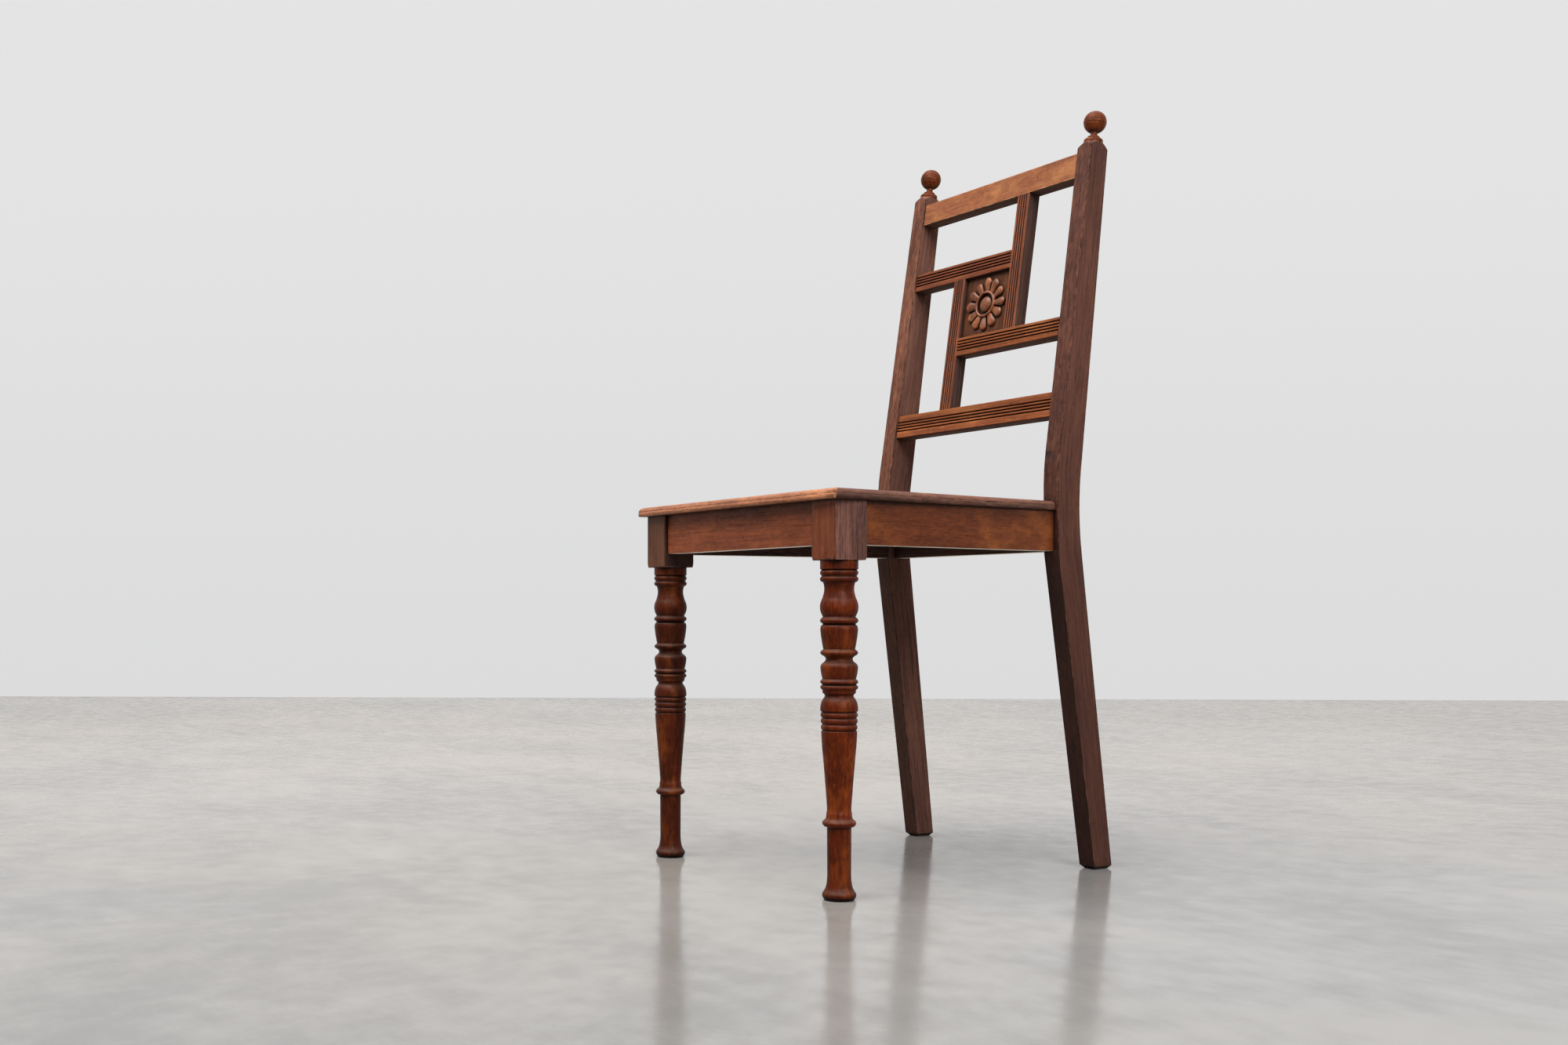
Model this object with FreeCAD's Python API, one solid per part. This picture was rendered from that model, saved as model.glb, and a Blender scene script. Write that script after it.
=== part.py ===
import FreeCAD, Part
import math
import os

# A side chair of oak: turned front legs, raked back posts with ball finials, a plank seat
# on four tenoned rails, and a back of reeded bars set like a pinwheel round a carved panel.
# Millimetres. x runs to the sitter's left, y backwards from the front of the posts, z up.
# At the end the whole chair is moved so that the origin is under the middle of its box.

# Seat boards
seat_height = 455.0
seat_thickness = 12.0
seat_front_overhang = 9.5
seat_side_overhang = 11.0
seat_rear_inset = 3.3
seat_back_overhang = 3.0
seat_board_count = 3
edge_ovolo_width = 8.0
edge_upright_top = 5.5
edge_upright_bottom = 2.5
edge_under_round = 1.8

# Seat rails and the braces that stiffen their corners
rail_height = 49.5
rail_thickness = 17.0
front_rail_setback = 4.5
side_rail_front_setback = 4.5
side_rail_rear_setback = 7.5
back_rail_setback = 12.0
rail_tenon_thickness = 8.0
rail_tenon_length = 16.0
rail_tenon_shoulder = 7.0
back_rail_tenon_length = 12.0
mortise_web = 2.0
brace_reach = 26.0
brace_width = 24.0
brace_height = 25.0

# Front legs
leg_spacing = 357.6
leg_to_post = 338.6
block_size = 44.0
block_below_rail = 17.0
block_bevel_height = 6.0
block_bevel_depth = 2.5
shaft_diameter = 26.4

# Back posts
post_foot_spread = 358.0
post_lean = 0.77
post_foot_width = 24.8
post_top_width = 23.1
post_foot_depth = 29.3
post_depth = 39.3
post_top_depth = 28.1
post_above_crest = 14.0
leg_rake = 8.2
back_rake = 8.8
flat_below_rail = 2.5
flat_above_seat = 37.0
bend_ease = 25.0
foot_bevel = 4.0
shoulder_height = 8.0
shoulder_spread = 7.0

# Ball finials, turned on the tops of the posts
finial_ring_diameter = 23.0
finial_ring_height = 6.4
finial_disc_diameter = 16.8
finial_neck_diameter = 9.5
finial_neck_height = 4.8
ball_diameter = 28.2
ball_lift = 27.2

# Back frame, measured along the raked plane of the back
back_thickness = 18.5
back_setback = 2.0
lower_rail_level = 70.3
lower_rail_height = 31.1
crest_height = 29.1
crest_round = 2.5
bar_height = 24.6
bar_gap = 71.8
upright_width = 21.7
panel_opening_width = 84.4
panel_opening_height = 82.0
post_tenon_length = 14.0
bar_tenon_length = 12.0
back_tenon_thickness = 7.0
back_tenon_shoulder = 4.0

# Reeding: grooves cut along the bars, with a reed left between each two
reed_pitch = 4.05
reed_groove_count = 4
reed_groove_depth = 1.5
reed_groove_width = 1.8
bar_first_groove = 4.8
upright_first_groove = 4.2

# Carved panel
panel_recess = 6.0
panel_thickness = 7.0
panel_tongue = 3.5
petal_count = 12
petal_inner_radius = 15.2
petal_outer_radius = 35.5
petal_shoulder_radius = 31.5
petal_inner_half_width = 3.7
petal_outer_half_width = 6.9
petal_height = 4.4
boss_radius = 14.0
boss_height = 4.8

# Fits
tenon_clearance = 0.1
mortise_end_gap = 1.0
groove_clearance = 0.2
notch_clearance = 0.4

# The front leg as a turner would call it out, from the block down. Each cut goes down by its
# height to its diameter, and a cut of no height is a flat shoulder.
leg_cuts_above_shaft = (
    # plain neck
    (23.9, 42.4),
    # waist and bulb
    (0.0, 34.4),
    (23.5, 42.4),
    (15.1, 36.4),
    # bead and first cup
    (0.0, 42.2),
    (14.0, 42.2),
    (23.0, 35.6),
    # bead over a hollow
    (0.0, 42.0),
    (6.2, 42.0),
    (0.0, 31.0),
    # second cup
    (11.7, 41.6),
    (14.6, 36.8),
    # bead over a hollow
    (0.0, 42.0),
    (11.4, 42.0),
    (0.0, 33.0),
    # swelling, plain band and long taper
    (22.6, 41.0),
    (23.4, 41.0),
    (97.8, 27.6),
    # collar
    (4.4, 37.6),
    (4.2, 26.4),
)

# Below the plain shaft the leg flares to a small foot.
leg_cuts_of_foot = (
    (21.5, 37.6),
    (4.5, 37.6),
)

# Levels and places that follow from the sizes above
seat_underside = seat_height - seat_thickness
rail_bottom = seat_underside - rail_height
block_bottom = rail_bottom - block_below_rail
flat_bottom = rail_bottom - flat_below_rail
flat_top = seat_height + flat_above_seat
leg_rake_slope = math.tan(math.radians(leg_rake))
back_rake_slope = math.tan(math.radians(back_rake))
lean_slope = math.tan(math.radians(post_lean))
lower_rail_top = lower_rail_level + lower_rail_height
lower_bar_bottom = lower_rail_top + bar_gap
lower_bar_top = lower_bar_bottom + bar_height
upper_bar_bottom = lower_bar_top + panel_opening_height
upper_bar_top = upper_bar_bottom + bar_height
crest_bottom = upper_bar_top + bar_gap
crest_top = crest_bottom + crest_height
post_height = flat_top + crest_top * math.cos(math.radians(back_rake)) + post_above_crest
leg_x = leg_spacing / 2
leg_y = -leg_to_post
leg_front = leg_y - block_size / 2
leg_rear = leg_y + block_size / 2
leg_inner = leg_x - block_size / 2
leg_outer = leg_x + block_size / 2
front_rail_back = leg_front + front_rail_setback + rail_thickness
back_rail_back = back_rail_setback + rail_thickness
upright_inner = panel_opening_width / 2
upright_outer = upright_inner + upright_width
upright_middle = (upright_inner + upright_outer) / 2
back_front = back_setback
back_rear = back_setback + back_thickness
back_middle = (back_front + back_rear) / 2
rail_middle_z = (rail_bottom + seat_underside) / 2
beyond = 60.0


def point_yz(y, z):
    return FreeCAD.Vector(0, y, z)


def point_xz(x, z):
    return FreeCAD.Vector(x, 0, z)


def point_xy(x, y):
    return FreeCAD.Vector(x, y, 0)


class Outline:
    """A closed outline drawn from point to point in one plane."""

    def __init__(self, plane, start):
        self.plane = plane
        self.start = start
        self.here = start
        self.edges = []

    def line(self, end):
        if math.dist(self.here, end) > 1e-6:
            self.edges.append(Part.makeLine(self.plane(*self.here), self.plane(*end)))
        self.here = end

    def arc(self, middle, end):
        points = [self.plane(*p) for p in (self.here, middle, end)]
        self.edges.append(Part.Arc(*points).toShape())
        self.here = end

    def bend(self, corner, end):
        """A smooth bend that leaves along one straight and arrives along the other."""
        curve = Part.BezierCurve()
        curve.setPoles([self.plane(*p) for p in (self.here, corner, end)])
        self.edges.append(curve.toShape())
        self.here = end

    def face(self):
        self.line(self.start)
        return Part.Face(Part.Wire(self.edges))


def polygon(plane, points):
    outline = Outline(plane, points[0])
    for point in points[1:]:
        outline.line(point)
    return outline.face()


def block(x_range, y_range, z_range):
    """A box between two limits along each axis."""
    low = FreeCAD.Vector(x_range[0], y_range[0], z_range[0])
    size = [limits[1] - limits[0] for limits in (x_range, y_range, z_range)]
    return Part.makeBox(*size, low)


def mirrored(shape):
    return shape.mirror(FreeCAD.Vector(0, 0, 0), FreeCAD.Vector(1, 0, 0))


def turned(face):
    return face.revolve(FreeCAD.Vector(0, 0, 0), FreeCAD.Vector(0, 0, 1), 360)


# Back posts


def post_front(z):
    """How far back the front of a post lies at a height, along its straight parts."""
    if z < flat_bottom:
        return (flat_bottom - z) * leg_rake_slope
    return max(0.0, z - flat_top) * back_rake_slope


def post_outer(z):
    return post_foot_spread / 2 - z * lean_slope


def post_width(z):
    return post_foot_width + (post_top_width - post_foot_width) * z / post_height


def post_inner(z):
    return post_outer(z) - post_width(z)


def post_centre(z, depth):
    return FreeCAD.Vector(post_outer(z) - post_width(z) / 2, post_front(z) + depth / 2, z)


def post_axis():
    """Top centre of the left post and the direction of its upper part."""
    top = post_centre(post_height, post_top_depth)
    direction = top - post_centre(flat_top, post_depth)
    return top, direction.normalize()


def back_edge_y(z):
    """Back of a post above the seat, on the straight through its bend and its top."""
    top_back = post_front(post_height) + post_top_depth
    slope = (top_back - post_depth) / (post_height - flat_top)
    return post_depth + (z - flat_top) * slope


def post_side_face():
    """Side view of a post: upright at the seat joint, raked back above and below it."""
    over = post_height + beyond
    foot_back = post_front(0) + post_foot_depth
    low_slope = (post_depth - foot_back) / flat_bottom
    high_slope = back_edge_y(flat_top + 1) - back_edge_y(flat_top)
    corner_z = (flat_bottom * low_slope - flat_top * high_slope) / (low_slope - high_slope)
    corner_y = post_depth + (corner_z - flat_bottom) * low_slope
    outline = Outline(point_yz, (post_front(0), 0))
    outline.line((0, flat_bottom))
    outline.line((0, flat_top - bend_ease))
    outline.bend((0, flat_top), (post_front(flat_top + bend_ease), flat_top + bend_ease))
    outline.line((post_front(over), over))
    outline.line((back_edge_y(over), over))
    outline.line((post_depth, flat_top))
    outline.bend((corner_y, corner_z), (post_depth, flat_bottom))
    outline.line((foot_back, 0))
    return outline.face()


def post_front_face():
    """Front view of the left post: it leans inwards and narrows towards the top."""
    over = post_height + beyond
    corners = [
        (post_inner(0), 0),
        (post_outer(0), 0),
        (post_outer(over), over),
        (post_inner(over), over),
    ]
    return polygon(point_xz, corners)


def turned_shoulder_waste():
    """What the lathe takes off round the top of a post, down to a cone that meets the finial."""
    top, axis = post_axis()
    ring = finial_ring_diameter / 2
    base = top - axis * shoulder_height
    cone = Part.makeCone(ring + shoulder_spread, ring, shoulder_height, base, axis)
    return Part.makeCylinder(beyond, shoulder_height + 2 * beyond, base, axis).cut(cone)


def finial():
    """The ball on its short neck and stepped base, on top of the left post."""
    ring = finial_ring_diameter / 2
    disc = finial_disc_diameter / 2
    neck = finial_neck_diameter / 2
    ball = ball_diameter / 2
    neck_top = finial_ring_height + finial_neck_height
    ball_bottom = ball_lift - math.sqrt(ball ** 2 - neck ** 2)
    outline = Outline(point_xz, (0, 0))
    outline.line((ring, 0))
    outline.line((ring, finial_ring_height))
    outline.line((disc, finial_ring_height))
    outline.line((neck, neck_top))
    outline.line((neck, ball_bottom))
    outline.arc((ball, ball_lift), (0, ball_lift + ball))
    shape = turned(outline.face())
    top, axis = post_axis()
    shape.Placement = FreeCAD.Placement(top, FreeCAD.Rotation(FreeCAD.Vector(0, 0, 1), axis))
    return shape


def post_body():
    """The left post with its finial, before its mortises are cut."""
    width = post_foot_spread
    side = post_side_face().extrude(FreeCAD.Vector(width, 0, 0))
    depth = post_front(0) + post_front(post_height + beyond) + post_depth
    front = post_front_face()
    front.translate(FreeCAD.Vector(0, -beyond, 0))
    body = side.common(front.extrude(FreeCAD.Vector(0, depth + 2 * beyond, 0)))
    foot = [edge for edge in body.Edges if edge.BoundBox.ZMax < 0.01]
    body = body.makeChamfer(foot_bevel, foot)
    return body.cut(turned_shoulder_waste()).fuse(finial()).removeSplitter()


def space_between_posts():
    """Everything between the inner faces of the two posts, which carry the shoulders."""
    over = post_height + beyond
    corners = [
        (-post_inner(0), 0),
        (post_inner(0), 0),
        (post_inner(over), over),
        (-post_inner(over), over),
    ]
    face = polygon(point_xz, corners)
    reach = 2 * leg_to_post
    face.translate(FreeCAD.Vector(0, -reach, 0))
    return face.extrude(FreeCAD.Vector(0, 2 * reach, 0))


# Back frame


def on_back(shape):
    """Set a shape drawn upright, with y as depth and z as height, on the raked back."""
    shape.rotate(FreeCAD.Vector(0, 0, 0), FreeCAD.Vector(1, 0, 0), -back_rake)
    shape.translate(FreeCAD.Vector(0, 0, flat_top))
    return shape


def back_level_to_z(level):
    return flat_top + level * math.cos(math.radians(back_rake))


def back_tongue(x_range, z_range, clearance):
    """A tongue in the middle of the back's thickness, eased all round by a clearance."""
    half = back_tenon_thickness / 2 + clearance
    tongue = block(
        (x_range[0] - clearance, x_range[1] + clearance),
        (back_middle - half, back_middle + half),
        (z_range[0] - clearance, z_range[1] + clearance),
    )
    return on_back(tongue)


def reeded_face(width, first_groove, place):
    """Section of a reeded bar. place gives a point from the distance across and the depth."""
    half = reed_groove_width / 2
    outline = Outline(place, (0, back_front))
    for number in range(reed_groove_count):
        groove = first_groove + number * reed_pitch
        outline.line((groove - half, back_front))
        outline.line((groove, back_front + reed_groove_depth))
        outline.line((groove + half, back_front))
    outline.line((width, back_front))
    outline.line((width, back_rear))
    outline.line((0, back_rear))
    return outline.face()


def panel_board(clearance=0.0):
    half_width = panel_opening_width / 2 + panel_tongue + clearance
    front = back_front + panel_recess
    return block(
        (-half_width, half_width),
        (front - clearance, front + panel_thickness + clearance),
        (lower_bar_top - panel_tongue - clearance, upper_bar_bottom + panel_tongue + clearance),
    )


def petal():
    """One lobe along z: it widens outwards from the boss to a round end."""
    outline = Outline(point_xz, (-petal_inner_half_width, petal_inner_radius))
    outline.line((-petal_outer_half_width, petal_shoulder_radius))
    outline.arc((0, petal_outer_radius), (petal_outer_half_width, petal_shoulder_radius))
    outline.line((petal_inner_half_width, petal_inner_radius))
    return outline.face().extrude(FreeCAD.Vector(0, -petal_height, 0))


def rosette_panel():
    ground = back_front + panel_recess
    middle = (lower_bar_top + upper_bar_bottom) / 2
    centre = FreeCAD.Vector(0, ground, middle)
    carving = [Part.makeCylinder(boss_radius, boss_height, centre, FreeCAD.Vector(0, -1, 0))]
    for number in range(petal_count):
        lobe = petal()
        lobe.rotate(FreeCAD.Vector(0, 0, 0), FreeCAD.Vector(0, 1, 0), 360 * number / petal_count)
        lobe.translate(centre)
        carving.append(lobe)
    return on_back(panel_board().fuse(carving).removeSplitter())


# Front legs


def leg_profile():
    """Half outline of the turned part of a front leg, from the axis at the top to the floor."""
    cut_heights = [height for height, diameter in leg_cuts_above_shaft + leg_cuts_of_foot]
    shaft = (block_bottom - sum(cut_heights), shaft_diameter)
    outline = Outline(point_xz, (0, block_bottom))
    outline.line((leg_cuts_above_shaft[0][1] / 2, block_bottom))
    for height, diameter in leg_cuts_above_shaft + (shaft,) + leg_cuts_of_foot:
        outline.line((diameter / 2, outline.here[1] - height))
    outline.line((0, outline.here[1]))
    return outline.face()


def leg_body():
    """The left front leg before its mortises: a square block over a turned leg."""
    half = block_size / 2
    corner = half * math.sqrt(2)
    square = block((-half, half), (-half, half), (block_bottom, seat_underside))
    low = FreeCAD.Vector(0, 0, block_bottom)
    up = FreeCAD.Vector(0, 0, 1)
    bevel = Part.makeCone(corner - block_bevel_depth, corner, block_bevel_height, low, up)
    above = block((-half, half), (-half, half), (block_bottom + block_bevel_height, seat_underside))
    body = square.common(bevel.fuse(above)).fuse(turned(leg_profile())).removeSplitter()
    body.translate(FreeCAD.Vector(leg_x, leg_y, 0))
    return body


# Seat frame


def rail_tenon_levels(clearance=0.0):
    return (
        rail_bottom + rail_tenon_shoulder - clearance,
        seat_underside - rail_tenon_shoulder + clearance,
    )


def cross_tongue(half_length, rail_front, clearance=0.0):
    """The tongue through a rail that runs across the chair, with a tenon at each end."""
    middle = rail_front + rail_thickness / 2
    half = rail_tenon_thickness / 2 + clearance
    return block(
        (-half_length, half_length),
        (middle - half, middle + half),
        rail_tenon_levels(clearance),
    )


side_rail_front_x = leg_outer - side_rail_front_setback
side_rail_rear_x = post_outer(rail_middle_z) - side_rail_rear_setback
side_rail_slope = (side_rail_rear_x - side_rail_front_x) / -leg_rear
side_rail_angle = math.atan(side_rail_slope)
side_rail_reach = rail_thickness / math.cos(side_rail_angle)


def side_rail_outer(y):
    return side_rail_rear_x + y * side_rail_slope


def side_rail_inner(y):
    return side_rail_outer(y) - side_rail_reach


def plan_prism(points, z_range):
    face = polygon(point_xy, points)
    face.translate(FreeCAD.Vector(0, 0, z_range[0]))
    return face.extrude(FreeCAD.Vector(0, 0, z_range[1] - z_range[0]))


def side_tongue(clearance=0.0, end_gap=0.0):
    """The tongue through the left side rail, with a tenon into the leg and one into the post."""
    back_tenon_front = back_rail_setback + (rail_thickness - rail_tenon_thickness) / 2
    rear = back_tenon_front - mortise_web - mortise_end_gap + end_gap
    front = leg_rear - rail_tenon_length - end_gap
    margin = (side_rail_reach - rail_tenon_thickness / math.cos(side_rail_angle)) / 2 - clearance
    corners = [
        (side_rail_inner(front) + margin, front),
        (side_rail_outer(front) - margin, front),
        (side_rail_outer(rear) - margin, rear),
        (side_rail_inner(rear) + margin, rear),
    ]
    return plan_prism(corners, rail_tenon_levels(clearance))


def side_rail():
    corners = [
        (side_rail_inner(leg_rear), leg_rear),
        (side_rail_outer(leg_rear), leg_rear),
        (side_rail_outer(0), 0),
        (side_rail_inner(0), 0),
    ]
    body = plan_prism(corners, (rail_bottom, seat_underside))
    return body.fuse(side_tongue()).removeSplitter()


def front_rail():
    front = leg_front + front_rail_setback
    body = block((-leg_inner, leg_inner), (front, front_rail_back), (rail_bottom, seat_underside))
    return body.fuse(cross_tongue(leg_inner + rail_tenon_length, front)).removeSplitter()


def back_rail(between):
    half = post_inner(rail_middle_z)
    levels = (rail_bottom, seat_underside)
    body = block((-post_foot_spread, post_foot_spread), (back_rail_setback, back_rail_back), levels)
    tongue = cross_tongue(half + back_rail_tenon_length, back_rail_setback)
    return body.common(between).fuse(tongue).removeSplitter()


def front_brace_corners():
    """Plan of the left front brace, from the front rail to the side rail past the leg."""
    near_x = leg_inner - brace_reach
    near_y = leg_rear + brace_reach
    far_y = near_y + brace_width
    return [
        (near_x, front_rail_back),
        (side_rail_inner(near_y), near_y),
        (side_rail_inner(far_y), far_y),
        (near_x - brace_width, front_rail_back),
    ]


def rear_brace_corners():
    """Plan of the left rear brace, from the back rail to the side rail past the post."""
    near_x = post_inner(rail_middle_z) - brace_reach
    far_y = -brace_reach - brace_width
    return [
        (near_x, back_rail_setback),
        (near_x - brace_width, back_rail_setback),
        (side_rail_inner(far_y), far_y),
        (side_rail_inner(-brace_reach), -brace_reach),
    ]


def brace(corners):
    return plan_prism(corners, (seat_underside - brace_height, seat_underside))


# Seat


def moulded_edge(length, reach):
    """A plank along x with its moulded edge on y = 0: an ovolo over a short upright."""
    bottom = seat_underside
    bow = math.sqrt(0.5)
    ovolo_height = seat_thickness - edge_upright_top
    outline = Outline(point_yz, (edge_under_round, bottom))
    outline.arc(
        (edge_under_round * (1 - bow), bottom + edge_upright_bottom * (1 - bow)),
        (0, bottom + edge_upright_bottom),
    )
    outline.line((0, bottom + edge_upright_top))
    outline.arc(
        (edge_ovolo_width * (1 - bow), bottom + edge_upright_top + ovolo_height * bow),
        (edge_ovolo_width, seat_height),
    )
    outline.line((reach, seat_height))
    outline.line((reach, bottom))
    plank = outline.face().extrude(FreeCAD.Vector(length, 0, 0))
    plank.translate(FreeCAD.Vector(-length / 2, 0, 0))
    return plank


seat_front = leg_front - seat_front_overhang
seat_back = back_rail_back + seat_back_overhang
seat_front_half = leg_outer + seat_side_overhang
seat_rear_half = post_outer(seat_underside) - seat_rear_inset


def seat_plank():
    """The whole moulded seat, notched round the posts."""
    reach = 3 * leg_to_post
    front = moulded_edge(reach, seat_back - seat_front)
    front.translate(FreeCAD.Vector(0, seat_front, 0))
    angle = math.degrees(math.atan((seat_front_half - seat_rear_half) / -seat_front))
    left = moulded_edge(reach, reach)
    left.rotate(FreeCAD.Vector(0, 0, 0), FreeCAD.Vector(0, 0, 1), 90 + angle)
    left.translate(FreeCAD.Vector(seat_rear_half, 0, 0))
    seat = front.common(left).common(mirrored(left))
    notch_x = post_inner(seat_height) - notch_clearance
    levels = (seat_underside - 1, seat_height + 1)
    notch = block((notch_x, reach), (-notch_clearance, reach), levels)
    return seat.cut([notch, mirrored(notch)])


def seat_boards():
    """The seat as boards glued edge to edge, with their grain from side to side."""
    plank = seat_plank()
    reach = 3 * leg_to_post
    board = (seat_back - seat_front) / seat_board_count
    boards = []
    for number in range(seat_board_count):
        front = seat_front + number * board
        levels = (seat_underside - 1, seat_height + 1)
        boards.append(plank.common(block((-reach, reach), (front, front + board), levels)))
    return boards


# The back, piece by piece


def from_top(level):
    """Places a section's distances downwards from a level."""
    return lambda across, depth: FreeCAD.Vector(0, depth, level - across)


def from_right(x):
    """Places a section's distances leftwards from an edge."""
    return lambda across, depth: FreeCAD.Vector(x + across, depth, 0)


def crest_body():
    span = post_foot_spread
    crest = block((-span, span), (back_front, back_rear), (crest_bottom, crest_top))
    top_edges = [
        edge for edge in crest.Edges
        if edge.BoundBox.ZMin > crest_top - 0.01 and edge.BoundBox.XLength > span
    ]
    return on_back(crest.makeFillet(crest_round, top_edges))


def reeded_bar(top, height, first_groove, x_range):
    bar = reeded_face(height, first_groove, from_top(top))
    bar = bar.extrude(FreeCAD.Vector(x_range[1] - x_range[0], 0, 0))
    bar.translate(FreeCAD.Vector(x_range[0], 0, 0))
    return on_back(bar)


def reeded_upright(right_edge, bottom, top):
    upright = reeded_face(upright_width, upright_first_groove, from_right(right_edge))
    upright = upright.extrude(FreeCAD.Vector(0, 0, top - bottom))
    upright.translate(FreeCAD.Vector(0, 0, bottom))
    return on_back(upright)


def back_bodies(between):
    """The members of the back without their tenons. The posts' inner faces end the level ones."""
    span = post_foot_spread
    lower_first_groove = (lower_rail_height - (reed_groove_count - 1) * reed_pitch) / 2
    level = {
        "crest_rail": crest_body(),
        "lower_back_rail": reeded_bar(
            lower_rail_top, lower_rail_height, lower_first_groove, (-span, span)
        ),
        "upper_bar": reeded_bar(upper_bar_top, bar_height, bar_first_groove, (-span, upright_inner)),
        "lower_bar": reeded_bar(lower_bar_top, bar_height, bar_first_groove, (-upright_inner, span)),
    }
    bodies = {name: body.common(between) for name, body in level.items()}
    bodies["left_upright"] = reeded_upright(upright_inner, lower_bar_top, crest_bottom)
    bodies["right_upright"] = reeded_upright(-upright_outer, lower_rail_top, upper_bar_bottom)
    return bodies


def level_tongue(bottom, height, right_reach, left_reach, clearance, end_gap):
    """A level member's tenons, as one tongue that runs through it."""
    return back_tongue(
        (-right_reach - end_gap, left_reach + end_gap),
        (bottom + back_tenon_shoulder, bottom + height - back_tenon_shoulder),
        clearance,
    )


def upright_tongue(middle, bottom, top, clearance, end_gap):
    """An upright's tenons, as one tongue that runs through it."""
    half = upright_width / 2 - back_tenon_shoulder
    reach = bar_tenon_length + end_gap
    return back_tongue((middle - half, middle + half), (bottom - reach, top + reach), clearance)


def into_post(bottom, height):
    """How far from the middle plane a level member's tenon ends inside a post."""
    return post_inner(back_level_to_z(bottom + height / 2)) + post_tenon_length


def back_tongues(clearance=0.0, end_gap=0.0):
    """The tenons of the back's members. With a clearance and a gap they are the mortises."""
    fit = (clearance, end_gap)
    crest_reach = into_post(crest_bottom, crest_height)
    lower_reach = into_post(lower_rail_level, lower_rail_height)
    upper_bar_reach = into_post(upper_bar_bottom, bar_height)
    lower_bar_reach = into_post(lower_bar_bottom, bar_height)
    into_upright = upright_inner + bar_tenon_length
    return {
        "crest_rail": level_tongue(crest_bottom, crest_height, crest_reach, crest_reach, *fit),
        "lower_back_rail": level_tongue(
            lower_rail_level, lower_rail_height, lower_reach, lower_reach, *fit
        ),
        "upper_bar": level_tongue(upper_bar_bottom, bar_height, upper_bar_reach, into_upright, *fit),
        "lower_bar": level_tongue(lower_bar_bottom, bar_height, into_upright, lower_bar_reach, *fit),
        "left_upright": upright_tongue(upright_middle, lower_bar_top, crest_bottom, *fit),
        "right_upright": upright_tongue(-upright_middle, lower_rail_top, upper_bar_bottom, *fit),
    }


# Which members of the back have a tenon that enters each piece
entered_by = {
    "left_back_post": ("crest_rail", "lower_back_rail", "lower_bar"),
    "right_back_post": ("crest_rail", "lower_back_rail", "upper_bar"),
    "crest_rail": ("left_upright",),
    "lower_back_rail": ("right_upright",),
    "upper_bar": ("right_upright",),
    "lower_bar": ("left_upright",),
    "left_upright": ("upper_bar",),
    "right_upright": ("lower_bar",),
}
panel_frame = ("upper_bar", "lower_bar", "left_upright", "right_upright")


# The chair


def chair_pieces():
    between = space_between_posts()
    tongues = back_tongues()
    mortises = back_tongues(tenon_clearance, mortise_end_gap)
    panel_groove = on_back(panel_board(groove_clearance))
    pieces = {}

    for name, body in back_bodies(between).items():
        cuts = [mortises[member] for member in entered_by[name]]
        if name in panel_frame:
            cuts.append(panel_groove)
        pieces[name] = body.fuse(tongues[name]).removeSplitter().cut(cuts)
    pieces["rosette_panel"] = rosette_panel()

    front_tongue = cross_tongue(
        leg_inner + rail_tenon_length + mortise_end_gap,
        leg_front + front_rail_setback,
        tenon_clearance,
    )
    back_tongue_cut = cross_tongue(
        post_inner(rail_middle_z) + back_rail_tenon_length + mortise_end_gap,
        back_rail_setback,
        tenon_clearance,
    )
    left_side_tongue = side_tongue(tenon_clearance, mortise_end_gap)
    side_tongues = {"left": left_side_tongue, "right": mirrored(left_side_tongue)}
    sides = {"left": lambda shape: shape, "right": mirrored}
    braces = {"front": front_brace_corners(), "rear": rear_brace_corners()}
    for side, placed in sides.items():
        post = side + "_back_post"
        cuts = [mortises[member] for member in entered_by[post]]
        pieces[post] = placed(post_body()).cut(cuts + [side_tongues[side], back_tongue_cut])
        pieces[side + "_front_leg"] = placed(leg_body()).cut([side_tongues[side], front_tongue])
        pieces[side + "_side_rail"] = placed(side_rail())
        for place, corners in braces.items():
            pieces[side + "_" + place + "_brace"] = placed(brace(corners))
    pieces["front_rail"] = front_rail()
    pieces["back_rail"] = back_rail(between)
    for number, board in enumerate(seat_boards(), start=1):
        pieces["seat_board_" + str(number)] = board
    return pieces


def main():
    pieces = chair_pieces()
    box = Part.makeCompound(list(pieces.values())).optimalBoundingBox(False, False)
    centre = FreeCAD.Vector(-box.Center.x, -box.Center.y, -box.ZMin)
    os.makedirs("parts", exist_ok=True)
    for name, shape in pieces.items():
        shape.translate(centre)
        shape.exportStep("parts/" + name + ".step")
        print(name, len(shape.Solids), "solid", "valid" if shape.isValid() else "not valid")
    print("box", round(box.XLength, 1), round(box.YLength, 1), round(box.ZLength, 1))


main()
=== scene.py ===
import math

import bmesh
import bpy
import numpy as np
from mathutils import Matrix, Vector, geometry, noise


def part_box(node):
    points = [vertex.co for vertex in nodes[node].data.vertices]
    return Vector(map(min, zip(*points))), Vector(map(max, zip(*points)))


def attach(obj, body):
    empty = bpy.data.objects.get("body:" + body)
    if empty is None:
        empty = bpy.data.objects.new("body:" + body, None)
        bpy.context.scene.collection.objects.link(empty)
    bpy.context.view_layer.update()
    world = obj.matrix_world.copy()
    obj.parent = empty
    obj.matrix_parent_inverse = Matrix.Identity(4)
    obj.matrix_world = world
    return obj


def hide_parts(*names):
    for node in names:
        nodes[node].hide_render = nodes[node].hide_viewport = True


# Looks of an oak side chair. Metres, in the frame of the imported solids:
# +X to the sitter's left, +Y to the back, +Z up. Profiles and carving are in millimetres.

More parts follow.
